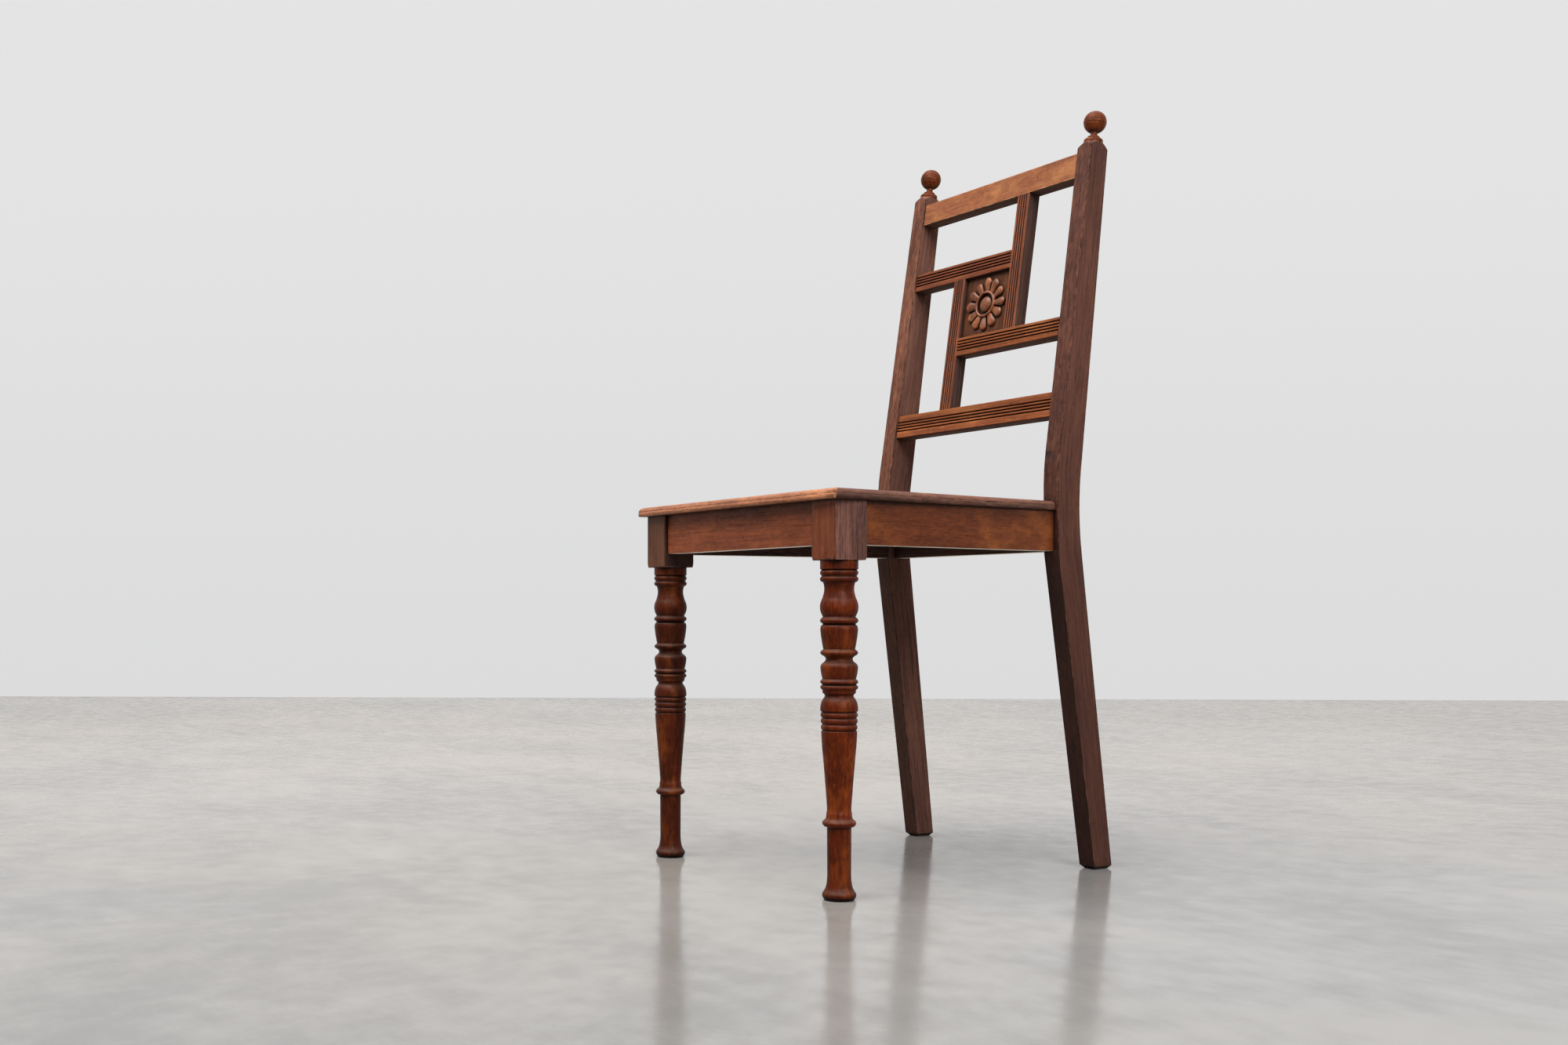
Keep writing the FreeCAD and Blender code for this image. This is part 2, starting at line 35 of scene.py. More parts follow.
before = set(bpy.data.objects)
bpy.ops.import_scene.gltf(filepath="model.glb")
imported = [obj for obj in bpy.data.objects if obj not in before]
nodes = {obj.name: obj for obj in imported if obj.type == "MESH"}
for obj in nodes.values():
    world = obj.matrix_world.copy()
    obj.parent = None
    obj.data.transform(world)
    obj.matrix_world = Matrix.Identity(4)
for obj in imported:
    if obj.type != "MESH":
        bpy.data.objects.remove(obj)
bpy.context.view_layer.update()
MM = 0.001

# Sizes shared with the solids, in metres and radians
back_rake = math.radians(8.8)
bend_level = 492.0 * MM
leg_rake = math.radians(8.2)
leg_bend = 391.0 * MM
post_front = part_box("left_back_post")[0].y
post_top = Vector((155.3 * MM, post_front + 78.2 * MM, 906.5 * MM))
post_axis = Vector((-5.18, 58.57, 414.5)).normalized()
on_back = Matrix.Translation((0, post_front, bend_level)) @ Matrix.Rotation(-back_rake, 4, "X")
panel_ground = 8.0 * MM
panel_middle = 238.8 * MM
crest_round = 2.6 * MM
rail_top = 443.0 * MM
seat_top = 455.0 * MM

# Sizes shared with the solids, in millimetres
block_bottom, block_top, block_half = 376.5, 443.0, 22.0
bar_front, bar_rear = 2.0, 20.5
bar_height, bar_first_groove = 24.6, 4.8
lower_rail_height, lower_rail_first_groove = 31.1, 9.475
upright_width, upright_first_groove = 21.7, 4.2
lower_rail_top, lower_bar_top, upper_bar_top, upright_top = 101.4, 197.8, 304.4, 376.2
groove_count, reed_pitch = 4, 4.05


# Materials


class Nodes:
    """A small builder of a node tree: each call adds a node and returns its output."""

    def __init__(self, tree):
        self.tree = tree

    def add(self, kind, inputs=(), **settings):
        """Adds a node, with inputs by name or number, and returns the node itself."""
        made = self.tree.nodes.new(kind)
        for name, value in settings.items():
            setattr(made, name, value)
        for key, value in dict(inputs).items():
            self.put(value, made.inputs[key])
        return made

    def put(self, value, socket):
        """Links an output to a socket, or sets a value on it."""
        if isinstance(value, bpy.types.NodeSocket):
            self.tree.links.new(value, socket)
        else:
            socket.default_value = value

    def math(self, operation, a, b):
        return self.add("ShaderNodeMath", {0: a, 1: b}, operation=operation).outputs[0]

    def plus(self, a, b):
        return self.math("ADD", a, b)

    def minus(self, a, b):
        return self.math("SUBTRACT", a, b)

    def times(self, a, b):
        return self.math("MULTIPLY", a, b)

    def most(self, a, b):
        return self.math("MAXIMUM", a, b)

    def dot(self, a, b):
        made = self.add("ShaderNodeVectorMath", {0: a, 1: b}, operation="DOT_PRODUCT")
        return made.outputs["Value"]

    def span(self, value, low, high, to_low=0.0, to_high=1.0):
        """Carries a value smoothly from one range to another, and stops at its ends."""
        inputs = {0: value, 1: low, 2: high, 3: to_low, 4: to_high}
        made = self.add("ShaderNodeMapRange", inputs, interpolation_type="SMOOTHSTEP")
        return made.outputs[0]

    def mix(self, share, a, b, blend="MIX"):
        """Blends two colours."""
        made = self.add("ShaderNodeMix", data_type="RGBA", blend_type=blend)
        self.put(share, made.inputs[0])
        for socket, colour in ((made.inputs[6], a), (made.inputs[7], b)):
            linked = isinstance(colour, bpy.types.NodeSocket)
            self.put(colour if linked else (*colour, 1), socket)
        return made.outputs[2]

    def seen(self):
        """1 for rays from the camera, and for those that gloss or clear surfaces send on."""
        path = self.add("ShaderNodeLightPath").outputs
        direct = self.most(path["Is Camera Ray"], path["Is Glossy Ray"])
        return self.most(direct, path["Is Transmission Ray"])


class Shader(Nodes):
    """The node tree of a new material."""

    def __init__(self, name):
        self.material = bpy.data.materials.new(name)
        self.material.use_nodes = True
        super().__init__(self.material.node_tree)
        self.surface = self.tree.nodes["Principled BSDF"]

    def set(self, **values):
        """Sets or links inputs of the surface, named with _ for spaces."""
        for name, value in values.items():
            self.put(value, self.surface.inputs[name.replace("_", " ")])

    def place(self, rotation=(0, 0, 0), offset=(0, 0, 0), bent=False):
        """The point that is shaded, turned and shifted."""
        where = self.add("ShaderNodeTexCoord").outputs["Object"]
        if bent:
            where = self.unraked(where)
        inputs = {"Vector": where, "Rotation": rotation, "Location": offset}
        return self.add("ShaderNodeMapping", inputs).outputs[0]

    def unraked(self, where):
        """Takes the rake of the posts away, so that their grain follows them."""
        x, y, z = self.add("ShaderNodeSeparateXYZ", {0: where}).outputs
        below = self.most(self.minus(leg_bend, z), 0.0)
        above = self.most(self.minus(z, bend_level), 0.0)
        y = self.minus(y, self.times(below, math.tan(leg_rake)))
        y = self.minus(y, self.times(above, math.tan(back_rake)))
        return self.add("ShaderNodeCombineXYZ", {0: x, 1: y, 2: z}).outputs[0]

    def height(self):
        return self.add("ShaderNodeSeparateXYZ", {0: self.place()}).outputs["Z"]

    def scaled(self, vector, factors):
        return self.add("ShaderNodeMapping", {"Vector": vector, "Scale": factors}).outputs[0]

    def noise(self, vector, scale, detail, roughness):
        inputs = {"Vector": vector, "Scale": scale, "Detail": detail, "Roughness": roughness}
        return self.add("ShaderNodeTexNoise", inputs).outputs[0]

    def ramp(self, value, stops):
        """Grey levels between stops, each a place from 0 to 1 and its level."""
        made = self.add("ShaderNodeValToRGB", {0: value})
        points = made.color_ramp.elements
        while len(points) < len(stops):
            points.new(1.0)
        for point, (place, level) in zip(points, stops):
            point.position = place
            point.color = (level, level, level, 1)
        return made.outputs[0]

    def edges(self, radius):
        """How sharply the surface turns nearby: 0 on a flat, towards 1 on an edge."""
        rounded = self.add("ShaderNodeBevel", {"Radius": radius}, samples=6).outputs[0]
        true = self.add("ShaderNodeNewGeometry").outputs["Normal"]
        return self.minus(1.0, self.dot(rounded, true))

    def corner(self, distance):
        """0 on a flat, towards 1 near an outer corner, from rays cast into the wood."""
        settings = dict(samples=8, inside=True, only_local=True)
        made = self.add("ShaderNodeAmbientOcclusion", {"Distance": distance}, **settings)
        return self.minus(1.0, made.outputs["AO"])

    def open_air(self, distance):
        """1 on open surfaces, towards 0 in grooves and corners."""
        made = self.add("ShaderNodeAmbientOcclusion", {"Distance": distance}, samples=8)
        return made.outputs["AO"]


class Look:
    """How a piece of stained oak looks. A piece names only what differs from these values."""

    # Lighter patches: scale and stretch along the grain, and strength
    patches, figure = (19, 0.7), 0.5
    # Streaks: depth, share of fine fibres, and half the width of their edges
    streaks, fine, crisp = 0.6, 0.5, 0.09
    # Growth rings, open pores, short dark and light marks, and pale rays
    rings, pore, mottle, flecks = 0.2, 0.45, 0.0, 0.0
    # Grain that follows the rake of the posts
    bent = False
    # Stain and painted shade by height: a height, and how much of the colour is left at shares of
    # it
    stain = ()
    # Worn edges, whose pale colour on some pieces is partly a painted highlight: strength, reach
    # in millimetres, colour, and dark nicks along them
    wear, wear_reach, worn, nicks = 0.6, 1.6, (0.36, 0.13, 0.045), 0.0
    # Dust and a painted grey sheen on top, and the directions that dull faces look to, which get
    # painted shade
    dust, dull, dullness = 0.0, (), 0.8
    # Painted shade on the posts below the seat, strongest on faces that look ahead, and raw wood
    # on faces that look down
    under_seat, raw_below = 0.0, False
    # Grime and painted shade in grooves and corners: strength, reach in millimetres, tone, range
    # of open air, and strength of the painted shade in wide corners
    grime, grime_reach, grime_tone, grimy_air, deep = 0.85, 6, 0.08, (0.3, 0.94), 0.55
    # Polish
    roughness, gloss = 0.42, 0.15

    def __init__(self, **changes):
        vars(self).update(changes)


DUST = (0.125, 0.085, 0.064)
RAW = (0.84, 0.75, 0.62)
# Dark tones of painted shade for faces that look in the dull directions
UNPOLISHED = ((0.0165, 0.0110, 0.0098), (0.053, 0.036, 0.033))


class Oak(Shader):
    """Stained oak of three tones, with its grain along the first axis after a turn."""

    def __init__(self, name, tones, turn, seed, look):
        super().__init__(name)
        self.look = look
        self.dark, self.middle, self.light = tones
        self.ink = self.darker(0.22)
        self.grain = self.place(turn, (seed * 0.731, seed * 0.417, seed * 0.293), look.bent)
        self.facing = self.add("ShaderNodeNewGeometry").outputs["Normal"]
        self.up = self.add("ShaderNodeSeparateXYZ", {0: self.facing}).outputs["Z"]
        self.fibre = self.along_grain(0.02, 560, 4, 0.6)
        self.rub = self.along_grain(0.6, 70, 4, 0.65)
        self.show_grain()
        self.show_wear()
        self.show_dirt()
        self.show_polish()

    def darker(self, share):
        return tuple(share * level for level in self.dark)

    def along_grain(self, stretch, scale, detail, roughness):
        """Noise that is stretched along the grain."""
        return self.noise(self.scaled(self.grain, (stretch, 1, 1)), scale, detail, roughness)

    def tint(self, share, colour):
        """Lays a share of a colour over the wood."""
        self.colour = self.mix(share, self.colour, colour)

    def show_grain(self):
        """Streaks, patches, rings, marks and pores, then the stain and painted shade by height."""
        look = self.look
        size, stretch = look.patches
        streak = self.along_grain(0.03, 130, 3, 0.6)
        blotch = self.along_grain(0.7 * stretch, 0.8 * size, 4, 0.55)
        cloud = self.along_grain(stretch, size, 5, 0.62)
        pores = self.along_grain(0.014, 1000, 2, 0.6)
        specks = self.along_grain(0.5, 330, 2, 0.5)
        wave = self.add("ShaderNodeTexWave", {
            "Vector": self.scaled(self.grain, (0.1, 1, 1)), "Scale": 48, "Distortion": 6,
            "Detail": 3, "Detail Scale": 0.8, "Detail Roughness": 0.6,
        }, wave_type="RINGS", rings_direction="X", wave_profile="SAW").outputs["Fac"]

        lines = self.plus(self.times(self.fibre, look.fine), self.times(streak, 1 - look.fine))
        lines = self.span(lines, 0.47 - look.crisp, 0.47 + look.crisp, 1 - look.streaks, 1.0)
        self.colour = self.mix(lines, self.dark, self.middle)
        self.tint(self.times(self.span(cloud, 0.46, 0.68), look.figure), self.light)
        self.tint(self.span(blotch, 0.34, 0.54, 0.5, 0.0), self.dark)
        self.tint(self.span(wave, 0.15, 0.95, 0.0, look.rings), self.dark)
        if look.mottle:
            marks = self.along_grain(0.4, 230, 3, 0.65)
            self.tint(self.span(marks, 0.36, 0.5, look.mottle, 0.0), self.dark)
            self.tint(self.span(marks, 0.5, 0.68, 0.0, look.mottle), self.light)
        if look.flecks:
            rays = self.along_grain(0.08, 430, 2, 0.5)
            self.tint(self.span(rays, 0.58, 0.7, 0.0, look.flecks), self.light)
        in_rings = self.span(wave, 0.2, 0.8, 0.35, 1.0)
        self.open_pore = self.times(self.span(pores, 0.56, 0.68), in_rings)
        self.tint(self.times(self.open_pore, look.pore), self.ink)
        self.tint(self.span(specks, 0.68, 0.76, 0.0, 0.7), self.ink)
        # Colour by height: a stain on some pieces, painted shade and shadow on others
        if look.stain:
            top, stops = look.stain
            left = self.ramp(self.math("DIVIDE", self.height(), top), stops)
            self.colour = self.mix(1.0, self.colour, left, "MULTIPLY")

    def show_wear(self):
        """Worn edges, whose pale colour is partly a painted highlight, with dark nicks where the
        look asks for them.
        """
        look = self.look
        edge = self.span(self.edges(look.wear_reach * MM), 0.03, 0.22)
        if look.nicks:
            corner = self.span(self.corner(1.1 * look.wear_reach * MM), 0.1, 0.4)
            edge = self.most(edge, corner)
        edge = self.times(edge, self.span(self.rub, 0.42, 0.58, 0.05, 1.0))
        self.tint(self.times(edge, look.wear), look.worn)
        if look.nicks:
            nick = self.span(self.along_grain(0.35, 250, 3, 0.6), 0.49, 0.55, look.nicks, 0.0)
            self.tint(self.times(corner, nick), self.ink)

    def show_dirt(self):
        """Dust with a painted sheen, dull faces with painted shade, painted shade below the seat,
        grime and painted shade in corners, and raw wood below.
        """
        look = self.look
        self.coarse = self.rub
        # Dust, and a painted grey sheen, on faces that look up
        if look.dust:
            uneven = self.span(self.rub, 0.3, 0.6, 0.3, look.dust)
            self.tint(self.times(self.span(self.up, 0.15, 0.85), uneven), DUST)
        # Faces that look in the dull directions are rougher, and get painted shade
        for direction in look.dull:
            away = self.span(self.dot(self.facing, direction), 0.6, 0.85)
            rough_tone = self.mix(self.span(self.fibre, 0.38, 0.6), *UNPOLISHED)
            self.tint(self.times(away, look.dullness), rough_tone)
            self.coarse = self.plus(self.coarse, self.times(away, 1.8))
        # Painted shade on the posts below the seat, strongest on faces that look ahead
        if look.under_seat:
            ahead_facing = self.dot(self.facing, (0, -1, 0))
            strength = self.span(ahead_facing, 0.5, 0.8, look.under_seat, 0.7)
            below = self.span(self.height(), leg_bend - 0.01, leg_bend + 0.05, 1.0, 0.0)
            self.tint(self.times(strength, below), self.darker(0.35))
        # Grime and painted shade in grooves and corners, and painted shade in wide corners such as
        # under the seat's edge
        near = self.span(self.open_air(look.grime_reach * MM), *look.grimy_air, look.grime, 0.0)
        wide = self.span(self.open_air(4 * look.grime_reach * MM), 0.25, 0.85, look.deep, 0.0)
        self.tint(self.most(near, wide), self.darker(look.grime_tone))
        if look.raw_below:
            self.tint(self.span(self.up, -0.97, -0.85, 1.0, 0.0), RAW)

    def show_polish(self):
        """How rough the surface is, and its fine relief."""
        matt = self.plus(self.times(self.open_pore, 0.18), self.times(self.coarse, 0.16))
        matt = self.plus(matt, self.look.roughness - 0.08)
        relief = self.minus(self.times(self.fibre, 0.5), self.times(self.open_pore, 0.8))
        relief = self.plus(relief, self.times(self.coarse, 1.2))
        inputs = {"Strength": 0.6, "Distance": 0.3 * MM, "Height": relief}
        bump = self.add("ShaderNodeBump", inputs).outputs[0]
        self.set(Base_Color=self.colour, Roughness=matt, Normal=bump)
        self.set(Specular_IOR_Level=self.look.gloss)


def oak(name, tones, turn, seed, **changes):
    """A material of oak. The changes are to a plain Look."""
    return Oak(name, tones, turn, seed, Look(**changes)).material


# Turns that lay the grain along an axis, and directions that faces look to
ALONG = {"x": (0, 0, 0), "y": (0, 0, -math.pi / 2), "z": (0, math.pi / 2, 0)}
ALONG_BACK = {"x": (back_rake, 0, 0), "z": (back_rake, math.pi / 2, 0)}
INWARD = {"left": (-1, 0, 0), "right": (1, 0, 0)}
SIDES = ((1, 0, 0), (-1, 0, 0))
BELOW = ((0, 0, -1),)

# Dark, middle and light tones. The chair is darker on some of its sides: where left and right have
# their own tones, they are lighter and darker copies of one set, painted light and shade.
POST = {
    "left": ((0.030, 0.0105, 0.0072), (0.106, 0.0385, 0.0255), (0.17, 0.064, 0.038)),
    "right": ((0.055, 0.0190, 0.0118), (0.174, 0.066, 0.040), (0.28, 0.113, 0.061)),
}
POST_SIDE = {
    "left": ((0.036, 0.0132, 0.0094), (0.121, 0.0450, 0.0298), (0.170, 0.066, 0.042)),
    "right": ((0.062, 0.0240, 0.0165), (0.195, 0.083, 0.058), (0.29, 0.130, 0.082)),
}
LEG = {
    "left": ((0.029, 0.0044, 0.0010), (0.130, 0.0170, 0.0023), (0.29, 0.058, 0.0078)),
    "right": ((0.020, 0.0034, 0.0010), (0.086, 0.0128, 0.0024), (0.20, 0.044, 0.0070)),
}
BLOCK = {
    "left": ((0.060, 0.0135, 0.0056), (0.190, 0.046, 0.0165), (0.29, 0.085, 0.026)),
    "right": ((0.046, 0.0145, 0.0076), (0.142, 0.050, 0.0230), (0.22, 0.086, 0.036)),
}
BLOCK_SIDE = {
    "left": ((0.042, 0.0175, 0.0135), (0.192, 0.082, 0.060), (0.25, 0.114, 0.086)),
    "right": ((0.016, 0.0068, 0.0052), (0.068, 0.029, 0.0215), (0.09, 0.040, 0.030)),
}
RAIL = ((0.042, 0.0098, 0.0038), (0.138, 0.0345, 0.0120), (0.27, 0.079, 0.0195))
# The front rail has a lighter copy of the rail's tones, to make up for the seat's shadow on it:
# painted light
FRONT_RAIL = ((0.078, 0.0190, 0.0077), (0.290, 0.0740, 0.0285), (0.50, 0.142, 0.041))
BACK = ((0.090, 0.022, 0.0080), (0.255, 0.075, 0.024), (0.39, 0.138, 0.044))
LOWER = ((0.132, 0.034, 0.0122), (0.375, 0.113, 0.037), (0.56, 0.206, 0.066))
BACK_DARK = ((0.065, 0.0155, 0.0070), (0.190, 0.052, 0.021), (0.30, 0.095, 0.036))
CREST = ((0.105, 0.031, 0.0170), (0.285, 0.098, 0.042), (0.46, 0.195, 0.075))
# The panel's ground is darker and its raised carving lighter, as the carving stands out into the
# light: painted light and shade
PANEL = ((0.036, 0.0115, 0.0050), (0.098, 0.032, 0.0125), (0.170, 0.062, 0.025))
CARVED = ((0.075, 0.019, 0.0072), (0.225, 0.067, 0.023), (0.38, 0.132, 0.048))
BALL = ((0.040, 0.0068, 0.0015), (0.140, 0.028, 0.0044), (0.28, 0.074, 0.0130))
SEAT = ((0.060, 0.021, 0.0120), (0.150, 0.056, 0.029), (0.23, 0.095, 0.048))
SEAT_FRONT = ((0.125, 0.040, 0.018), (0.37, 0.130, 0.054), (0.53, 0.213, 0.090))
SEAT_SIDE = ((0.062, 0.026, 0.0172), (0.175, 0.075, 0.050), (0.27, 0.120, 0.078))
SOFT = ((0.20, 0.12, 0.066), (0.33, 0.22, 0.13), (0.42, 0.30, 0.19))

# Stains and painted shade by height: legs are darker at the foot and the drums, and the lower back
# rail in its upper band, from stains; the seat's sides get painted shade under the groove, the
# seat rails a painted shadow of the seat near it, and the posts are darker just above it.
LEG_STAIN = (block_bottom * MM, (
    (0.0, 0.58), (0.06, 0.62), (0.21, 0.72), (0.26, 1.0), (0.47, 0.92), (0.53, 0.72),
    (0.63, 0.66), (0.79, 0.66), (0.86, 1.0), (0.93, 0.76), (1.0, 0.80),
))
SEAT_STAIN = (seat_top, ((0.974, 0.5), (0.984, 0.6), (0.988, 1.0), (1.0, 1.0)))
LOWER_STAIN = (592.5 * MM, ((0.95, 1.0), (0.964, 1.0), (0.972, 0.70), (1.0, 0.66)))
RAIL_STAIN = (rail_top, ((0.894, 1.0), (0.94, 1.0), (0.975, 0.84), (1.0, 0.6)))
POST_STAIN = (900 * MM, ((0.44, 1.0), (0.50, 0.75), (0.62, 0.84), (0.75, 1.0)))


# Meshes


def stand_in(name, mesh, materials, node):
    """A finer piece shown in the place of a solid."""
    for material in materials:
        mesh.materials.append(material)
    made = bpy.data.objects.new(name, mesh)
    bpy.context.scene.collection.objects.link(made)
    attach(made, "root")
    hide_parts(node)
    return made


def smooth(mesh, sharp):
    """Smooth shading, with hard edges where the surface turns by more than so many degrees."""
    mesh.polygons.foreach_set("use_smooth", [True] * len(mesh.polygons))
    mesh.set_sharp_from_angle(angle=math.radians(sharp))


def mesh_of(shape, name):
    """Turns a shape into a mesh, and lets the shape go."""
    mesh = bpy.data.meshes.new(name)
    shape.to_mesh(mesh)
    shape.free()
    return mesh


# Points that are closer than this are one point
same_place = 0.005 * MM


def solid_shape(node):
    """A copy of a solid's surface to work on, with its flat faces whole."""
    shape = bmesh.new()
    shape.from_mesh(nodes[node].data)
    bmesh.ops.remove_doubles(shape, verts=shape.verts, dist=same_place)
    bmesh.ops.dissolve_limit(
        shape, angle_limit=math.radians(0.3), verts=shape.verts, edges=shape.edges
    )
    return shape


def ease_edges(shape, radius=0.9 * MM, shortest=15 * MM, step=3 * MM):
    """Rounds the long outer edges, here more and there less, as use has. Flat faces stay flat."""
    picked = [
        edge for edge in shape.edges
        if len(edge.link_faces) == 2 and edge.is_convex and edge.calc_length() > shortest
        and edge.calc_face_angle() > math.radians(40)
    ]
    lines, pieces = [], []
    for edge in picked:
        lines.append([vert.co.copy() for vert in edge.verts])
        vert = edge.verts[0]
        for left in range(round(edge.calc_length() / step), 1, -1):
            piece, vert = bmesh.utils.edge_split(edge, vert, 1 / left)
            pieces.append(piece)
        pieces.append(edge)
    made = bmesh.ops.bevel(
        shape, geom=pieces, offset=radius, segments=3, profile=0.5, affect="EDGES",
        clamp_overlap=True
    )
    for vert in made["verts"]:
        wear_corner(vert, lines, 5 * radius)
    rounded = set(made["faces"])
    for edge in shape.edges:
        edge.smooth = any(face in rounded for face in edge.link_faces)


# Waves of wear along an edge, as strength and length in millimetres, and rarer chips
WEAR_WAVES = ((0.75, 15), (0.45, 4.5))
chip_length, chip_start, chip_depth = 26, 0.25, 3.5
least_scale = 0.5


def wear_corner(vert, lines, end):
    """Moves a point of a rounded edge to or from the old corner, but not near the edge's ends."""
    feet = [geometry.intersect_point_line(vert.co, *line)[0] for line in lines]
    number = min(range(len(lines)), key=lambda k: (feet[k] - vert.co).length)
    foot, line = feet[number], lines[number]
    reach = min(1.0, min((foot - spot).length for spot in line) / end)
    spot = foot / MM + Vector((0, 0, 40 * number))
    worn = sum(strength * noise.noise(spot / length) for strength, length in WEAR_WAVES)
    chip = max(0.0, noise.noise(spot / chip_length + Vector((7, 7, 7))) - chip_start)
    scale = max(least_scale, 1 + worn + chip_depth * chip)
    vert.co = foot + (vert.co - foot) * (1 + (scale - 1) * reach)


def finished(shape, node, *materials):
    """Shows a worked shape in the place of its solid, with hard edges kept hard."""
    bmesh.ops.remove_doubles(shape, verts=shape.verts, dist=same_place)
    for face in shape.faces:
        face.smooth = True
        face.material_index = min(face.material_index, len(materials) - 1)
    for edge in shape.edges:
        if len(edge.link_faces) == 2 and edge.calc_face_angle() > math.radians(50):
            edge.smooth = False
    mesh = mesh_of(shape, node)
    if "custom_normal" in mesh.attributes:
        mesh.attributes.remove(mesh.attributes["custom_normal"])
    made = stand_in(node + ".eased", mesh, materials, node)
    level = made.modifiers.new("flat faces stay flat", "WEIGHTED_NORMAL")
    level.keep_sharp = True


def eased(node, material):
    """A solid as it is, but with worn edges."""
    shape = solid_shape(node)
    ease_edges(shape)
    finished(shape, node, material)


def turned_rings(shape, line, base, axis, around, first=0.0):
    """Rings of points about an axis. The line gives radius and height, and a tip is one point."""
    turn = Vector((0, 0, 1)).rotation_difference(axis).to_matrix()
    rings = []
    for radius, height in line:
        ring = []
        for k in range(around if radius > 0.001 else 1):
            angle = first + 2 * math.pi * k / around
            spot = Vector((radius * math.cos(angle), radius * math.sin(angle), height)) * MM
            ring.append(shape.verts.new(base + turn @ spot))
        rings.append(ring)
    return rings


def skin(shape, rings, kinds):
    """Joins rings in order, from low to high. kinds gives the material of each face around."""
    for low, high in zip(rings, rings[1:]):
        for k, kind in enumerate(kinds):
            after = (k + 1) % len(kinds)
            corners = [low[k % len(low)], low[after % len(low)]]
            corners += [high[after % len(high)], high[k % len(high)]]
            shape.faces.new(dict.fromkeys(corners)).material_index = kind


def bowed_line(rows, step=0.7):
    """Radius and height of close points along rows of height, radius and bow outwards."""
    line = [Vector((rows[0][1], rows[0][0]))]
    for height, radius, bow in rows[1:]:
        start, end = line[-1], Vector((radius, height))
        run = end - start
        out = Vector((-run.y, run.x)).normalized()
        if run.y > 0:
            out = -out
        count = 1 if bow == 0 else max(4, round(run.length / step))
        for k in range(1, count + 1):
            t = k / count
            line.append(start + run * t + out * (4 * bow * t * (1 - t)))
    return [(spot.x, spot.y) for spot in line]


# Back posts, each with a ball turned on its top. Lines round the ball are at these degrees.
FINIAL_BASE = (
    (-1.0, 11.2, 0), (0.5, 11.5, 0), (3.6, 11.5, 0.3), (4.6, 10.4, 0.2), (4.9, 8.3, 0),
    (5.2, 7.6, 0), (8.0, 7.4, 0.45), (8.8, 5.6, -0.2), (10.2, 4.4, -0.3), (13.8, 4.4, -0.15),
)
BALL_LINES = (-14, 4, 16, 28, 43)
ball_radius, ball_lift = 14.1, 27.2
ball_foot = -71.8
ball_steps, ball_around = 96, 64
line_depth, line_width = 0.42, 0.5
post_round = 1.1 * MM


def ball_line():
    """Radius and height of points from the ball's neck to its top."""
    line = []
    for k in range(1, ball_steps + 1):
        angle = ball_foot + (90 - ball_foot) * k / ball_steps
        radius = ball_radius
        for place in BALL_LINES:
            off = math.radians(angle - place) * ball_radius / line_width
            radius -= line_depth * math.exp(-off * off)
        turn = math.radians(angle)
        line.append((max(0.0, radius * math.cos(turn)), ball_lift + radius * math.sin(turn)))
    return line


def back_post(side, *materials):
    """A post with its ball. The materials are of its front and back, the ball and its sides."""
    node = side + "_back_post"
    flip = 1 if side == "left" else -1
    base = Vector((flip * post_top.x, post_top.y, post_top.z))
    axis = Vector((flip * post_axis.x, post_axis.y, post_axis.z))
    shape = solid_shape(node)
    finial = [
        face for face in shape.faces
        if (face.calc_center_median() - base).dot(axis) > 0.05 * MM
    ]
    bmesh.ops.delete(shape, geom=finial, context="FACES")
    rim = [edge for edge in shape.edges if edge.is_boundary]
    bmesh.ops.holes_fill(shape, edges=rim, sides=0)
    bmesh.ops.recalc_face_normals(shape, faces=shape.faces)
    ease_edges(shape, post_round)
    shape.normal_update()
    for face in shape.faces:
        face.material_index = 2 if abs(face.normal.x) > 0.7 else 0
    rings = turned_rings(shape, bowed_line(FINIAL_BASE) + ball_line(), base, axis, ball_around)
    skin(shape, rings, [1] * ball_around)
    shape.faces.new(rings[0][::-1]).material_index = 1
    finished(shape, node, *materials)


def crest_rail(material):
    """The crest, with its top edge raised, more at the sitter's left. Rises are in millimetres."""
    places, rises = (-150, 150), (1.2, 4.0)
    shape = solid_shape("crest_rail")
    to_back = on_back.inverted()
    top = max((to_back @ vert.co).z for vert in shape.verts)
    for vert in shape.verts:
        spot = to_back @ vert.co
        if spot.z > top - crest_round:
            spot.z += np.interp(spot.x / MM, places, rises) * MM
            vert.co = on_back @ spot
    ease_edges(shape)
    finished(shape, "crest_rail", material)


# Reeded members of the back, with a rounded lip at both front edges, in millimetres
LIP_SPOTS = (0.0, 0.12, 0.45, 0.9)
lip_radius = 1.0
reed_depth, reed_sharpness, reed_step = 2.3, 6, 0.2
reed_stations = 48
rear_bevel = 0.8
tenon_hidden = 11


def reeded_section(width, first):
    """Outline across a reeded member, as distances across and depths, in millimetres."""
    grooves = [first + k * reed_pitch for k in range(groove_count)]
    between = np.arange(1.3, width - 1.2, reed_step)
    spots = [*LIP_SPOTS, *between, *(width - spot for spot in LIP_SPOTS[::-1])]
    outline = []
    for across in spots:
        near = min(grooves, key=lambda groove: abs(groove - across))
        reach = min(abs(across - near) / reed_pitch, 0.5)
        depth = reed_depth * math.cos(math.pi * reach) ** reed_sharpness
        lip = max(0.0, lip_radius - min(across, width - across))
        fall = lip_radius - math.sqrt(lip_radius ** 2 - lip ** 2)
        outline.append((across, bar_front + depth + fall))
    outline += [(width, bar_rear - rear_bevel), (width - rear_bevel, bar_rear)]
    outline += [(rear_bevel, bar_rear), (0.0, bar_rear - rear_bevel)]
    return outline


